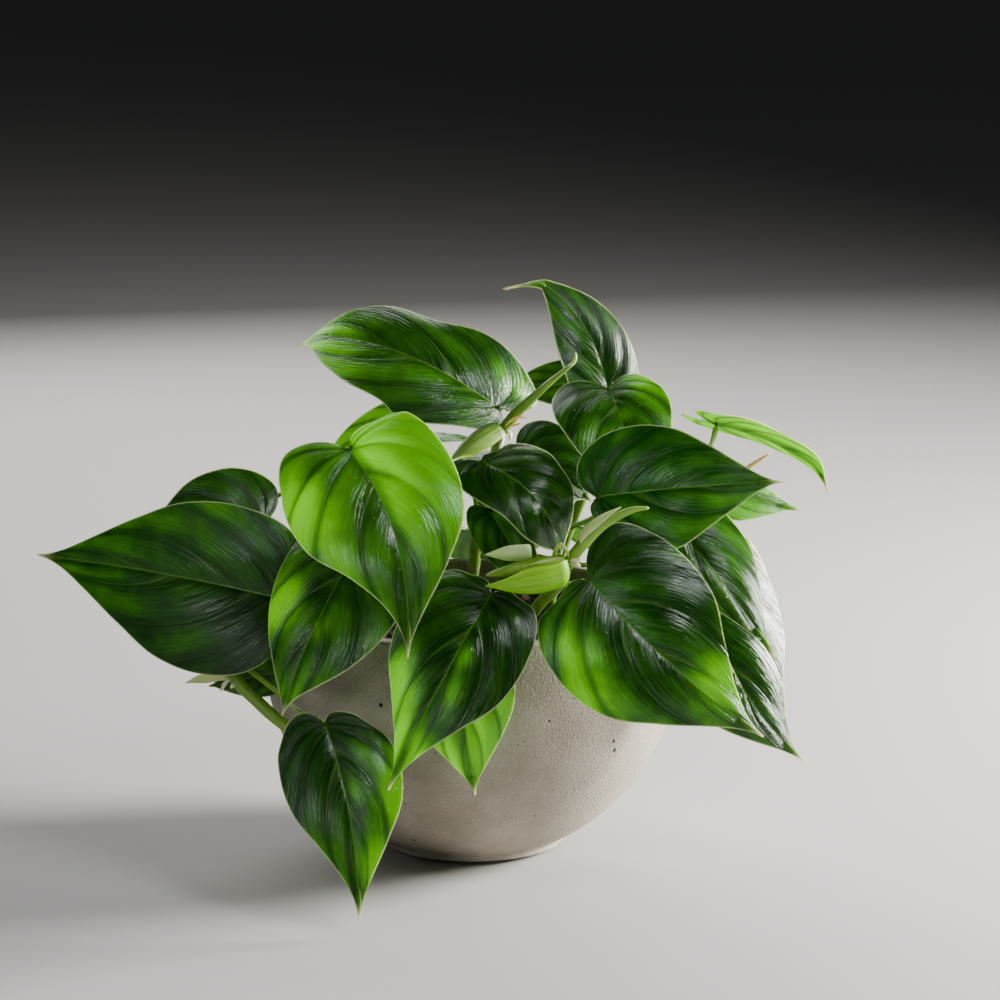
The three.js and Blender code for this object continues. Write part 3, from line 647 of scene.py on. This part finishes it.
def stem_skin():
    material, tree, shader = new_material("stem_skin")
    place = object_place(tree)
    lines = fine_lines(tree, 26, 9)
    blotches = clouds(tree, place, 130, 3)
    green = tinted(tree, painted(tree, "fresh"), STEM_OLIVE, STEM_FRESH)
    green = tinted(tree, fade(tree, lines, 0.35, 0.75, 0.0, 0.45), green, STEM_OLIVE)
    green = tinted(tree, fade(tree, blotches, 0.45, 0.8, 0.0, 0.35), green, STEM_FRESH)
    spots = add_node(tree, "ShaderNodeTexVoronoi", {"Vector": place, "Scale": 190})
    spot = fade(tree, spots.outputs["Distance"], 0.10, 0.19, 0.6, 0.0)
    spot = figure(tree, "MULTIPLY", spot, fade(tree, blotches, 0.5, 0.62))
    corky = figure(tree, "MAXIMUM", painted(tree, "scar"), spot)
    green = tinted(tree, corky, green, STEM_SCAR)
    fill(tree, shader, {
        "Base Color": tinted(tree, painted(tree, "bark_and_shade"), green, STEM_BARK_AND_SHADE),
        "Roughness": figure(tree, "ADD", figure(tree, "MULTIPLY", corky, 0.35), 0.38),
        "Normal": relief(tree, corky, 0.0004, 0.6, relief(tree, lines, 0.0004, 0.5)),
        "Subsurface Weight": 0.25, "Subsurface Radius": (0.6, 1.0, 0.2), "Subsurface Scale": 0.002})
    return material


stem_material = stem_skin()
for name, stem in STEMS.items():
    points = stem_points(stem)
    own_leaves = [leaf for leaf in leaves.values() if leaf["stem"] == name]
    nodes = sorted(leaf["at"] for leaf in own_leaves)

    def stem_radius(share, travelled, total, stem=stem, nodes=nodes):
        past = max(0, (share - stem["thins"]) / (1 - stem["thins"]))
        radius = stem["radius"] + (stem["end"] - stem["radius"]) * past
        ring = sum(math.exp(-((travelled - at * total) / NODE_LENGTH) ** 2) for at in nodes)
        return radius + NODE_SWELLING * min(1, ring)

    def scar_at(travelled, total, nodes=nodes):
        away = (travelled - at * total + NODE_LENGTH for at in nodes)
        return min(1, 0.8 * sum(math.exp(-(gap / SCAR_LENGTH) ** 2) for gap in away))

    # Darkens the vine towards the soil: old bark, and painted shade where it rises in shadow.
    def bark_and_shade_at(travelled, total):
        return max(0, 1 - travelled / BARK_AND_SHADE_LENGTH) * 0.9

    mesh = bmesh.new()
    length = sum((q - p).length for p, q in zip(points, points[1:]))
    tube(mesh, lambda share: smooth_point(points, share), stem_radius, STEM_AROUND,
         round(length / STEM_STEP),
         {"fresh": lambda travelled, total: stem["fresh"] * (travelled / total) ** 1.5,
          "scar": scar_at, "bark_and_shade": bark_and_shade_at})
    for leaf in own_leaves:
        fresh = min(1, 0.35 + 0.6 * max(stem["fresh"], leaf["youth_and_painted_light"]))

        def stalk_radius(share, travelled, total):
            foot = FOOT_FLARE * math.exp(-travelled / FOOT_LENGTH)
            neck = NECK_SWELLING * math.exp(-(((total - travelled) / NECK_LENGTH) ** 2))
            return STALK_RADIUS - STALK_SLIMMER + foot + neck

        tube(mesh, stalk_line(leaf), stalk_radius, STALK_AROUND, STALK_STEPS,
             {"fresh": lambda travelled, total: fresh, "scar": lambda travelled, total: 0.0,
              "bark_and_shade": lambda travelled, total: 0.0})
    finished(mesh, f"{name}_vine", [stem_material], "stem", name)


# The leaves are heart-shaped blades, thin and leathery. Side veins fan out of the notch and
# arch from the midrib towards the tip, and the blade bulges between them in shallow pleats. The
# upper side is glossy and dark, or yellow-green while young, the under side paler and duller,
# with a raised midrib, and a thin pale line runs round the margin to the drip tip.
HALF_OUTLINE = [
    (0, 0, 0), (0.14, -0.085, 0), (0.42, -0.15, 0), (0.74, -0.115, 0), (0.95, 0.03, 0),
    (1, 0.21, 0.04), (0.92, 0.41, 0.16), (0.7, 0.61, 0.36), (0.38, 0.78, 0.6),
    (0.14, 0.89, 0.8), (0.04, 0.955, 0.92), (0, 1, 1)]
PUFF = 0.07
RISE_POWER = 1.4
WAVE_TURNS = 2.5
LOBE_END = 0.5
TAPER_START = 0.45
TAPER_LENGTH = 0.4
BLADE_COLUMNS = (0, 0.014, 0.04, 0.08, 0.13, 0.19, 0.26, 0.34, 0.42, 0.5, 0.58, 0.66, 0.74,
                 0.82, 0.89, 0.95, 0.985, 1)
BLADE_ROWS = 99
UPPER_SKIN = 0.2
BLADE_THICK = 0.42
RIB_THICK = 1.15
RIB_WIDTH = 0.9
RIB_SUNK = 0.12
VEINS = 7
VEIN_ARCH = 0.95
VEIN_SHIFT = 0.35
VEINS_MAPPED = 17
HALF_MAPPED = 8
VEIN_WIDTH = 0.024
STREAKS = (190, 2.6)
BANDS = (62, 2.0)
LEAF_DEEP = (0.005, 0.038, 0.0015, 1)
LEAF_YOUNG = (0.085, 0.38, 0.0, 1)
GLOW_DEEP = (0.026, 0.135, 0.0005, 1)
GLOW_YOUNG = (0.54, 1.0, 0.0, 1)
UNDER_DEEP = (0.06, 0.16, 0.02, 1)
UNDER_YOUNG = (0.18, 0.44, 0.02, 1)
RIB_PALE = (0.16, 0.40, 0.03, 1)
MARGIN_PALE = (0.80, 0.92, 0.42, 1)
TIP_PALE = (0.84, 0.84, 0.52, 1)
DUST_PALE = (0.50, 0.56, 0.46, 1)


def blade_outline(leaf, half):
    """Half the outline of a blade: across, along, where the rib to it starts, how full it is."""
    outline = []
    for edge, along, rib in HALF_OUTLINE:
        drawn = max(0, 1 - along / LOBE_END) * min(1, edge / leaf["lobe_edge"])
        narrowed = 1 - leaf["taper"] * min(1, max(0, (along - TAPER_START) / TAPER_LENGTH))
        outline.append(Vector((edge * narrowed, along + leaf["lobes"][half] * drawn, rib, edge)))
    return outline


def vein_count(place, t, half):
    """Counts the side veins from the notch: a whole number on a vein, a half between two."""
    return VEINS * place - VEIN_ARCH * t ** 2 + VEIN_SHIFT * half


def blade_corner(leaf, axes, outlines, column, place):
    """A corner of the blade in mm, its distances from midrib and margin, its youth with painted
    light.
    """
    notch, along, up, across, length = axes
    half = 0 if column < 0 else 1
    side = -1 if column < 0 else 1
    t = abs(column)
    width, rib_end, rib_start, full = smooth_point(outlines[half], place)
    width, rib_start, full = max(0, width), max(0, rib_start), max(0, full)
    a = width * t
    v = rib_start + (rib_end - rib_start) * t
    bow = 4 * v * (1 + 3 * v) if v < 0 else 4 * v * (1 - v)
    slope = 4 + 24 * v if v < 0 else 4 - 8 * v
    bend = max(0, v - leaf["tail_start"]) / (1 - leaf["tail_start"])
    tail = bend ** 2
    tail_slope = 2 * bend / (1 - leaf["tail_start"])
    lean = math.atan((leaf["sweep"] * slope + leaf["tail"][0] * tail_slope) / length)
    wave = 2 * math.pi * WAVE_TURNS * place + leaf["sinus"][0] + side + leaf["phase"]
    bulge = abs(math.sin(math.pi * vein_count(place, t, half))) ** 0.8 - 0.55
    pleat = leaf["pleat"] * bulge * math.sin(math.pi * t ** 0.85) ** 0.8 * min(1, 1.4 * width)
    rise = (leaf["rise"][half] * a ** RISE_POWER
            + PUFF * leaf["half"][half] * full * math.sin(math.pi * t)
            + leaf["wave"] * math.sin(wave) * a * t ** 2 + pleat)
    sideways = side * a * leaf["half"][half]
    corner = (notch + along * (v * length - sideways * math.sin(lean))
              + across * (leaf["sweep"] * bow + leaf["tail"][0] * tail + sideways * math.cos(lean))
              + up * (leaf["arch"] * bow + leaf["tail"][1] * tail + rise))
    from_midrib = math.hypot(sideways, min(0, v) * length)
    rib_length = math.hypot(width * leaf["half"][half], (rib_end - rib_start) * length)
    from_margin = 0.75 * (1 - t) * rib_length
    left, right, tip = leaf["tint"]
    youth_and_painted_light = leaf["youth_and_painted_light"] + (left, right)[half] * a ** 1.5 + tip * max(0, v) ** 2
    # Painted light and shade: patches that brighten the green where light comes through the blade
    # and darken it where the blade lies in shadow.
    for across_place, along_place, size, amount in leaf["painted_light_and_shade"]:
        away = (side * a - across_place) ** 2 + 4 * (v - along_place) ** 2
        youth_and_painted_light += amount * math.exp(-away / size ** 2)
    return corner, from_midrib, from_margin, youth_and_painted_light, max(0, (v - 0.9) / 0.1)


def sharpen_margin(mesh):
    """Keeps the margin of a skin sharp, so that its rim is shaded as a face of its own."""
    for edge in mesh.edges:
        edge.smooth = not edge.is_boundary


def blade_mesh(leaf):
    """The upper skin of a blade, with its markings and the share of its thickness by corner."""
    axes = leaf_frame(leaf)
    outlines = [blade_outline(leaf, half) for half in (0, 1)]
    columns = [-t for t in reversed(BLADE_COLUMNS[1:])] + list(BLADE_COLUMNS)
    rows = [i / BLADE_ROWS for i in range(BLADE_ROWS + 1)]
    made = {}

    def point_at(column, place):
        made[column, place] = blade_corner(leaf, axes, outlines, column, place)
        return made[column, place][0]

    def uv_at(column, place, middle):
        half = 0 if middle < 0 else 1
        count = vein_count(place, abs(column), half) + 1 + HALF_MAPPED * half
        return count / VEINS_MAPPED, abs(column)

    mesh = bmesh.new()
    thick = mesh.verts.layers.deform.verify()
    marks = mark_layers(mesh, "from_midrib", "from_margin", "youth_and_painted_light", "tip")
    values = laid_grid(mesh, columns, rows, point_at, uv_at)
    for vert, value in values.items():
        for layer, mark in zip(marks, made[value][1:]):
            vert[layer] = mark
    bmesh.ops.remove_doubles(mesh, verts=mesh.verts, dist=0.002)
    bmesh.ops.dissolve_degenerate(mesh, edges=mesh.edges, dist=0.002)
    bmesh.ops.reverse_faces(mesh, faces=mesh.faces)
    mesh.normal_update()
    for vert in mesh.verts:
        rib = math.exp(-(vert[marks[0]] / RIB_WIDTH) ** 2) * min(1, vert[marks[1]] / 2)
        vert[thick][0] = (BLADE_THICK + (RIB_THICK - BLADE_THICK) * rib) / RIB_THICK
        vert.co += vert.normal * (UPPER_SKIN - RIB_SUNK * rib)
    sharpen_margin(mesh)
    return mesh


def blade_greens(tree, deep, young):
    """The green of a blade, clouded, with painted shade and light by veins and midrib, paler on
    ribs, margin, tip.
    """
    place = object_place(tree)
    from_midrib = painted(tree, "from_midrib")
    split = add_node(tree, "ShaderNodeSeparateXYZ", {0: map_place(tree)})
    t = split.outputs[1]
    streaks = fine_lines(tree, *STREAKS, 0.6)
    bands = fine_lines(tree, *BANDS, 0.6)
    youth_and_painted_light = painted(tree, "youth_and_painted_light")
    for pattern, share in ((clouds(tree, place, 70, 5, 0.62), 0.7), (bands, 0.2), (streaks, 0.2)):
        uneven = figure(tree, "SUBTRACT", pattern, 0.5)
        youth_and_painted_light = figure(tree, "ADD", youth_and_painted_light, figure(tree, "MULTIPLY", uneven, share))
    from_vein = figure(tree, "PINGPONG",
                       figure(tree, "MULTIPLY", split.outputs[0], float(VEINS_MAPPED)), 0.5)
    # Painted shade towards the vein grooves and painted light on the pleat crests between them; on
    # the brighter, younger green the grooves are painted darker still.
    painted_pleat_shading = fade(tree, from_vein, 0.0, 0.4, -0.10, 0.05)
    painted_groove_shade = fade(tree, from_vein, 0.0, 0.16, -0.4, 0.0)
    painted_groove_shade = figure(tree, "MULTIPLY", painted_groove_shade, figure(tree, "MAXIMUM", youth_and_painted_light, 0.0))
    youth_and_painted_light = figure(tree, "ADD", youth_and_painted_light, figure(tree, "ADD", painted_pleat_shading, painted_groove_shade))
    youth_and_painted_light = fade(tree, youth_and_painted_light, -0.15, 1.1)
    # Painted shade in the groove along the midrib, both in the green of the surface and in the
    # light that comes through.
    painted_midrib_shade = fade(tree, from_midrib, 0.4, 4.5, 0.5, 0.0)
    green = tinted(tree, painted_midrib_shade, tinted(tree, youth_and_painted_light, deep, young), deep)
    narrowing = figure(tree, "MULTIPLY", figure(tree, "SUBTRACT", 1.12, t), VEIN_WIDTH)
    vein_width = figure(tree, "DIVIDE", narrowing, figure(tree, "ADD", t, 0.12))
    on_vein = fade(tree, figure(tree, "DIVIDE", from_vein, vein_width), 0.3, 1.3, 0.3, 0.0)
    green = tinted(tree, on_vein, green, RIB_PALE)
    green = tinted(tree, fade(tree, from_midrib, 0.12, 0.6, 0.7, 0.0), green, RIB_PALE)
    on_margin = fade(tree, painted(tree, "from_margin"), 0.15, 0.5, 0.95, 0.0)
    green = tinted(tree, on_margin, green, MARGIN_PALE)
    tip = fade(tree, painted(tree, "tip"), 0.1, 0.9)
    green = tinted(tree, tip, green, TIP_PALE)
    glow = tinted(tree, painted_midrib_shade, tinted(tree, youth_and_painted_light, GLOW_DEEP, GLOW_YOUNG), GLOW_DEEP)
    glow = tinted(tree, tip, glow, TIP_PALE)
    return green, glow, streaks, bands, from_vein, place


def let_light_through(tree, shader, share, values):
    """Makes a share of a material pass the light through to its other side."""
    through = add_node(tree, "ShaderNodeBsdfTranslucent", values)
    mixed = add_node(tree, "ShaderNodeMixShader",
                     {0: share, 1: shader.outputs[0], 2: through.outputs[0]})
    fill(tree, tree.nodes["Material Output"], {"Surface": mixed.outputs[0]})


def blade_upper():
    material, tree, shader = new_material("leaf_upper")
    green, glow, streaks, bands, from_vein, place = blade_greens(tree, LEAF_DEEP, LEAF_YOUNG)
    away, drawn = specks(tree, place, 260)
    speck = fade(tree, away, 0.05, 0.12, 1.0, 0.0)
    dust = figure(tree, "MULTIPLY", fade(tree, drawn, 0.91, 0.95), speck)
    gloss = fade(tree, streaks, 0.38, 0.62, 0.10, 0.32)
    grooves = relief(tree, fade(tree, from_vein, 0.0, 0.05), 0.0003, 0.45)
    lined = relief(tree, streaks, 0.0005, 0.8, relief(tree, bands, 0.0007, 0.5, grooves))
    fill(tree, shader, {
        "Base Color": tinted(tree, figure(tree, "MULTIPLY", dust, 0.75), green, DUST_PALE),
        "Roughness": figure(tree, "ADD", gloss, figure(tree, "MULTIPLY", dust, 0.4)),
        "Specular IOR Level": 0.7,
        "Normal": relief(tree, clouds(tree, place, 2600, 2), 0.00006, 0.35, lined)})
    let_light_through(tree, shader, 0.5, {"Color": glow, "Normal": lined})
    return material


def blade_under():
    material, tree, shader = new_material("leaf_under")
    green, glow, streaks, _, from_vein, _ = blade_greens(tree, UNDER_DEEP, UNDER_YOUNG)
    raised = relief(tree, fade(tree, from_vein, 0.0, 0.07, 1.0, 0.0), 0.0004, 0.6)
    fill(tree, shader, {"Base Color": green, "Roughness": 0.52,
                        "Normal": relief(tree, streaks, 0.0003, 0.4, raised)})
    let_light_through(tree, shader, 0.68, {"Color": glow})
    return material


def blade_margin():
    material, tree, shader = new_material("leaf_margin")
    pale = tinted(tree, clouds(tree, object_place(tree), 90, 3), MARGIN_PALE, TIP_PALE)
    fill(tree, shader, {"Base Color": pale, "Roughness": 0.4})
    let_light_through(tree, shader, 0.5, {"Color": pale})
    return material


def give_thickness(piece, thickness):
    """Thickens a skin away from its upper side; the under side and rim have their own material."""
    wall = piece.modifiers.new("thickness", "SOLIDIFY")
    wall.thickness = thickness * MM
    wall.offset = -1
    wall.material_offset = 1
    wall.material_offset_rim = 2
    if piece.vertex_groups:
        wall.vertex_group = piece.vertex_groups[0].name


leaf_materials = [blade_upper(), blade_under(), blade_margin()]
for name, leaf in leaves.items():
    piece = finished(blade_mesh(leaf), f"{name}_blade", leaf_materials, "leaf", name)
    piece.vertex_groups.new(name="thickness")
    give_thickness(piece, RIB_THICK)


# The sheaths wrapped each new leaf and now stand open like small boats at the ends of the
# vines: soft, finely lined, lime green to cream, with a paler thin edge. Each is given by the two
# ends of its keel, the way the keel faces, its width at the base and at its widest, the degrees
# that it wraps to either side, and its two greens.
SHEATH_THICK = 0.55
SHEATH_PROFILE = (1, 1, 1, 0.9, 0.68, 0.36, 0)
SHEATH_HEEL = 0.14
SHEATH_COLUMNS = 20
SHEATH_ROWS = 48
SHEATHS = {
    "sheath_front": dict(
        base=(37.4, -96.3, 141.5), tip=(6, -106, 134.5), face=(180, 60), clasp=7, width=17.5,
        wrap=84, colours=((0.20, 0.56, 0.0, 1), (0.44, 0.78, 0.03, 1))),
    "sheath_front_small": dict(
        base=(24, -95.4, 146.2), tip=(6, -96.8, 144.9), face=(180, 0), clasp=4, width=7,
        wrap=60, colours=((0.58, 0.80, 0.26, 1), (0.85, 0.90, 0.60, 1))),
    "sheath_tip": dict(
        base=(44.7, -95.5, 149.4), tip=(59, -98.7, 164.2), face=(90, -60), clasp=7, width=8,
        wrap=70, colours=((0.56, 0.78, 0.16, 1), (0.85, 0.92, 0.55, 1))),
    "sheath_left": dict(
        base=(-100.3, -48, 83), tip=(-117, -49, 81), face=(0, -40), clasp=5, width=7,
        wrap=70, colours=((0.55, 0.72, 0.28, 1), (0.85, 0.85, 0.58, 1))),
    "sheath_upper": dict(
        base=(11.8, -48.6, 184.6), tip=(-8, -66, 177), face=(0, -60), clasp=5, width=11,
        wrap=120, colours=((0.10, 0.24, 0.010, 1), (0.36, 0.56, 0.08, 1))),
}


def sheath_mesh(sheath):
    """The outer skin of a boat-shaped sheath round the line from its base to its tip."""
    start = Vector(sheath["base"])
    along = Vector(sheath["tip"]) - start
    outward = direction(*sheath["face"])
    outward = (outward - along * (outward.dot(along) / along.length_squared)).normalized()
    across = outward.cross(along).normalized()
    profile = [Vector((share, i / 4)) for i, share in enumerate(SHEATH_PROFILE)]
    clasp = sheath["clasp"] / sheath["width"]
    columns = [2 * k / SHEATH_COLUMNS - 1 for k in range(SHEATH_COLUMNS + 1)]
    rows = [i / SHEATH_ROWS for i in range(SHEATH_ROWS + 1)]

    def point_at(column, row):
        heel = math.sqrt(1 - (1 - min(1, row / SHEATH_HEEL)) ** 2)
        share = max(0, smooth_point(profile, row)[0]) * (clasp + (1 - clasp) * heel)
        ripple = 1 + 0.05 * math.sin(9 * row + 3 * column) * column ** 2
        angle = math.radians(sheath["wrap"]) * column * ripple
        radius = 0.5 * sheath["width"] * share + SHEATH_THICK / 2
        return start + along * row + (across * math.sin(angle) - outward * math.cos(angle)) * radius

    def uv_at(column, row, middle):
        return 0.5 + 0.5 * column, row

    mesh = bmesh.new()
    edge_layer, = mark_layers(mesh, "from_edge")
    values = laid_grid(mesh, columns, rows, point_at, uv_at)
    for vert, (column, _) in values.items():
        vert[edge_layer] = 1 - abs(column)
    bmesh.ops.remove_doubles(mesh, verts=mesh.verts, dist=0.002)
    centre = start + along * 0.5
    mesh.normal_update()
    outside = sum(face.normal.dot(face.calc_center_median() - centre) > 0 for face in mesh.faces)
    if outside < len(mesh.faces) / 2:
        bmesh.ops.reverse_faces(mesh, faces=mesh.faces)
    sharpen_margin(mesh)
    return mesh


def sheath_skin(name, green, pale):
    material, tree, shader = new_material(name)
    lines = fine_lines(tree, 42, 1.3)
    tone = tinted(tree, fade(tree, lines, 0.38, 0.68, 0.0, 0.9), green, pale)
    tone = tinted(tree, fade(tree, painted(tree, "from_edge"), 0.02, 0.22, 0.8, 0.0), tone, pale)
    fill(tree, shader, {"Base Color": tone, "Roughness": 0.42,
                        "Normal": relief(tree, lines, 0.0004, 0.5)})
    let_light_through(tree, shader, 0.35, {"Color": tone})
    return material


for name, sheath in SHEATHS.items():
    skin = sheath_skin(f"{name}_skin", *sheath["colours"])
    piece = finished(sheath_mesh(sheath), f"{name}_boat", [skin, skin, skin], "sheath", name)
    give_thickness(piece, SHEATH_THICK)


# The rolled leaf is the next leaf, still wound into a spindle inside its sheath, with the seam
# of its outer edge running round it.
ROLLED_BASE = (37.2, -95.5, 143)
ROLLED_TIP = (6, -106, 138.5)
ROLLED_RADIUS = 2.7
ROLLED_END = 0.5
ROLLED_AROUND = 36
ROLLED_STEPS = 60
SEAM_DEPTH = 0.4
SEAM_TURNS = 0.35
SEAM_START = 0.62
ROLLED_OLIVE = (0.10, 0.22, 0.004, 1)
ROLLED_PALE = (0.36, 0.56, 0.05, 1)

rolled = bmesh.new()
rolled_line = Vector(ROLLED_BASE), Vector(ROLLED_TIP)


def rolled_radius(share, travelled, total):
    fullness = math.sin(math.pi * (0.1 + 0.885 * share)) ** 0.8
    return ROLLED_END * (1 - share) + ROLLED_RADIUS * fullness


tube(rolled, lambda share: rolled_line[0].lerp(rolled_line[1], share), rolled_radius,
     ROLLED_AROUND, ROLLED_STEPS, {"fresh": lambda travelled, total: travelled / total})
spindle = (rolled_line[1] - rolled_line[0]).normalized()
side_way = spindle.orthogonal()
over_way = spindle.cross(side_way)
for vert in rolled.verts:
    spoke = vert.co - rolled_line[0]
    share = spoke.dot(spindle) / (rolled_line[1] - rolled_line[0]).length
    spoke -= spindle * spoke.dot(spindle)
    turn = math.atan2(spoke.dot(over_way), spoke.dot(side_way)) / (2 * math.pi)
    turn += SEAM_TURNS * share + SEAM_START
    vert.co += spoke * (SEAM_DEPTH / ROLLED_RADIUS) * ((turn % 1) - 0.5)


def rolled_skin():
    material, tree, shader = new_material("rolled_leaf_skin")
    lines = fine_lines(tree, 22, 8)
    heel = fade(tree, painted(tree, "fresh"), 0.5, 0.0, 0.0, 0.5)
    pale = figure(tree, "ADD", fade(tree, lines, 0.4, 0.8, 0.0, 0.6), heel)
    fill(tree, shader, {"Base Color": tinted(tree, pale, ROLLED_OLIVE, ROLLED_PALE),
                        "Roughness": 0.38, "Normal": relief(tree, lines, 0.0003, 0.5)})
    return material


finished(rolled, "rolled_leaf_spindle", [rolled_skin()], "rolled_leaf", "rolled_leaf")


# Short new roots, buds and old leaf bases stand at the rings of the vines: fleshy nubs that are
# yellow-white while they grow and dry to an orange brown. Each is given by its two colours, its
# thickness, and the points that each of its branches grows through.
NUB_AROUND = 12
NUB_STEPS = 24
NUB_CREAM = ((0.72, 0.74, 0.42, 1), (0.88, 0.88, 0.70, 1))
NUB_GREEN = ((0.26, 0.50, 0.03, 1), (0.60, 0.78, 0.20, 1))
NUB_AMBER = ((0.62, 0.36, 0.06, 1), (0.80, 0.62, 0.24, 1))
NUB_ROSE = ((0.72, 0.42, 0.32, 1), (0.86, 0.78, 0.66, 1))
NUBS = {
    "root_upper": dict(
        colours=NUB_AMBER, radius=0.55,
        lines=[[(13.5, -46.5, 187), (15.5, -51, 190), (19, -52.5, 192), (23.5, -52.5, 191.6)],
               [(14.5, -47, 187), (17.5, -51, 188.6), (20.5, -52, 189.4)]]),
    "nub_upper": dict(
        colours=NUB_CREAM, radius=1.0,
        lines=[[(13.4, -46, 185.4), (15.8, -50, 184.6), (15.6, -51.4, 182.4)],
               [(13, -45.4, 184.4), (12.4, -51, 181.4), (11.4, -51.8, 178.6)]]),
    "nub_left": dict(
        colours=NUB_CREAM, radius=0.9,
        lines=[[(-98.2, -47.5, 83.5), (-101, -49.4, 80.6), (-102.6, -49.6, 77.6)],
               [(-96.8, -48, 81.5), (-97.6, -50.8, 80.4), (-98.2, -51.4, 79.4)]]),
    "nub_shoot": dict(
        colours=NUB_ROSE, radius=0.85,
        lines=[[(38.4, -94, 142.5), (41.6, -97.4, 142.6), (43.8, -98.4, 143.4)],
               [(38.6, -94, 141.6), (41.8, -97, 141), (43.4, -97.8, 140.4)]]),
    "knob_front": dict(
        colours=NUB_CREAM, radius=1.5,
        lines=[[(21.6, -96, 146), (19.4, -97.8, 147), (17.6, -98.2, 146.2)]]),
    "loop_front": dict(
        colours=NUB_GREEN, radius=0.85,
        lines=[[(32.8, -96.4, 143.5), (33.8, -99, 147.8), (35.7, -100, 149.6),
                (37.8, -98.6, 147.2), (38.8, -95.4, 143.2)]]),
    "hook_upper": dict(
        colours=NUB_GREEN, radius=0.75,
        lines=[[(39, -54, 212.6), (41, -54, 214.2), (42, -54, 216), (42, -54, 218.6)]]),
    "sliver_right": dict(
        colours=NUB_AMBER, radius=1.25,
        lines=[[(92, -14, 146), (104, -14.4, 156.6), (115, -14.2, 164.4), (124.2, -14, 170.5)]]),
}


def nub_skin(name, deep, pale):
    material, tree, shader = new_material(name)
    blotches = clouds(tree, object_place(tree), 420, 3)
    share = figure(tree, "MULTIPLY", figure(tree, "ADD", painted(tree, "fresh"), blotches), 0.6)
    fill(tree, shader, {"Base Color": tinted(tree, share, deep, pale), "Roughness": 0.45,
                        "Normal": relief(tree, blotches, 0.0004, 0.4),
                        "Subsurface Weight": 0.3, "Subsurface Scale": 0.001})
    return material


for name, nub in NUBS.items():
    mesh = bmesh.new()
    for line in nub["lines"]:
        points = [Vector(point) for point in line]

        def nub_radius(share, travelled, total, radius=nub["radius"]):
            return radius * (1.1 - 0.2 * share) * math.sqrt(max(0.02, 1 - share ** 4))

        tube(mesh, lambda share: smooth_point(points, share), nub_radius, NUB_AROUND, NUB_STEPS,
             {"fresh": lambda travelled, total: travelled / total})
    finished(mesh, name, [nub_skin(f"{name}_skin", *nub["colours"])], "stem")


# The studio: a wide pale floor, a strong soft light from the right and a little behind, one from
# high behind that shines through the leaves, two small ones at the front that glint on the blades,
# and a weak broad one from the left front. Each is given by its place, its size, its power and
# its colour.
FLOOR_SIZE = 30
FLOOR_PALE = (0.42, 0.41, 0.395, 1)
LIGHTS = (
    ("key_light", (1.12, 0.27, 0.42), 0.48, 86, (1.0, 0.97, 0.92)),
    ("back_light", (-0.30, 1.15, 0.85), 1.2, 20, (1.0, 0.99, 0.96)),
    ("glint_light", (0.57, -0.63, 0.97), 0.34, 6, (0.95, 0.98, 1.0)),
    ("front_light", (-0.42, -1.12, 0.47), 0.3, 1.6, (0.93, 0.97, 1.0)),
    ("fill_light", (-0.9, -1.3, 0.8), 1.2, 1.5, (1.0, 0.98, 0.95)),
)
LIGHT_TARGET = Vector((0.0, -0.03, 0.12))
WORLD_GREY = (0.022, 0.023, 0.024, 1)
CAMERA_PLACE = (0.0118, -1.3743, 0.4150)
CAMERA_DOWN = 11
LENS = 120
SENSOR = 36

floor_mesh = bmesh.new()
bmesh.ops.create_grid(floor_mesh, x_segments=1, y_segments=1, size=FLOOR_SIZE / 2)
floor_data = bpy.data.meshes.new("floor")
floor_mesh.to_mesh(floor_data)
floor_mesh.free()
floor = placed("floor", floor_data)
floor_material, floor_tree, floor_shader = new_material("floor_pale")
fill(floor_tree, floor_shader, {"Base Color": FLOOR_PALE, "Roughness": 0.9})
floor_data.materials.append(floor_material)

for name, place, size, power, colour in LIGHTS:
    data = bpy.data.lights.new(name, "AREA")
    data.shape = "DISK"
    data.size = size
    data.energy = power
    data.color = colour
    light = placed(name, data)
    light.location = place
    light.rotation_euler = (LIGHT_TARGET - Vector(place)).to_track_quat("-Z", "Y").to_euler()

world = bpy.data.worlds.new("studio")
world.use_nodes = True
world.node_tree.nodes["Background"].inputs["Color"].default_value = WORLD_GREY
bpy.context.scene.world = world

camera_data = bpy.data.cameras.new("camera")
camera_data.lens = LENS
camera_data.sensor_width = SENSOR
camera = placed("camera", camera_data)
camera.location = CAMERA_PLACE
camera.rotation_euler = (math.radians(90 - CAMERA_DOWN), 0, 0)
bpy.context.scene.camera = camera
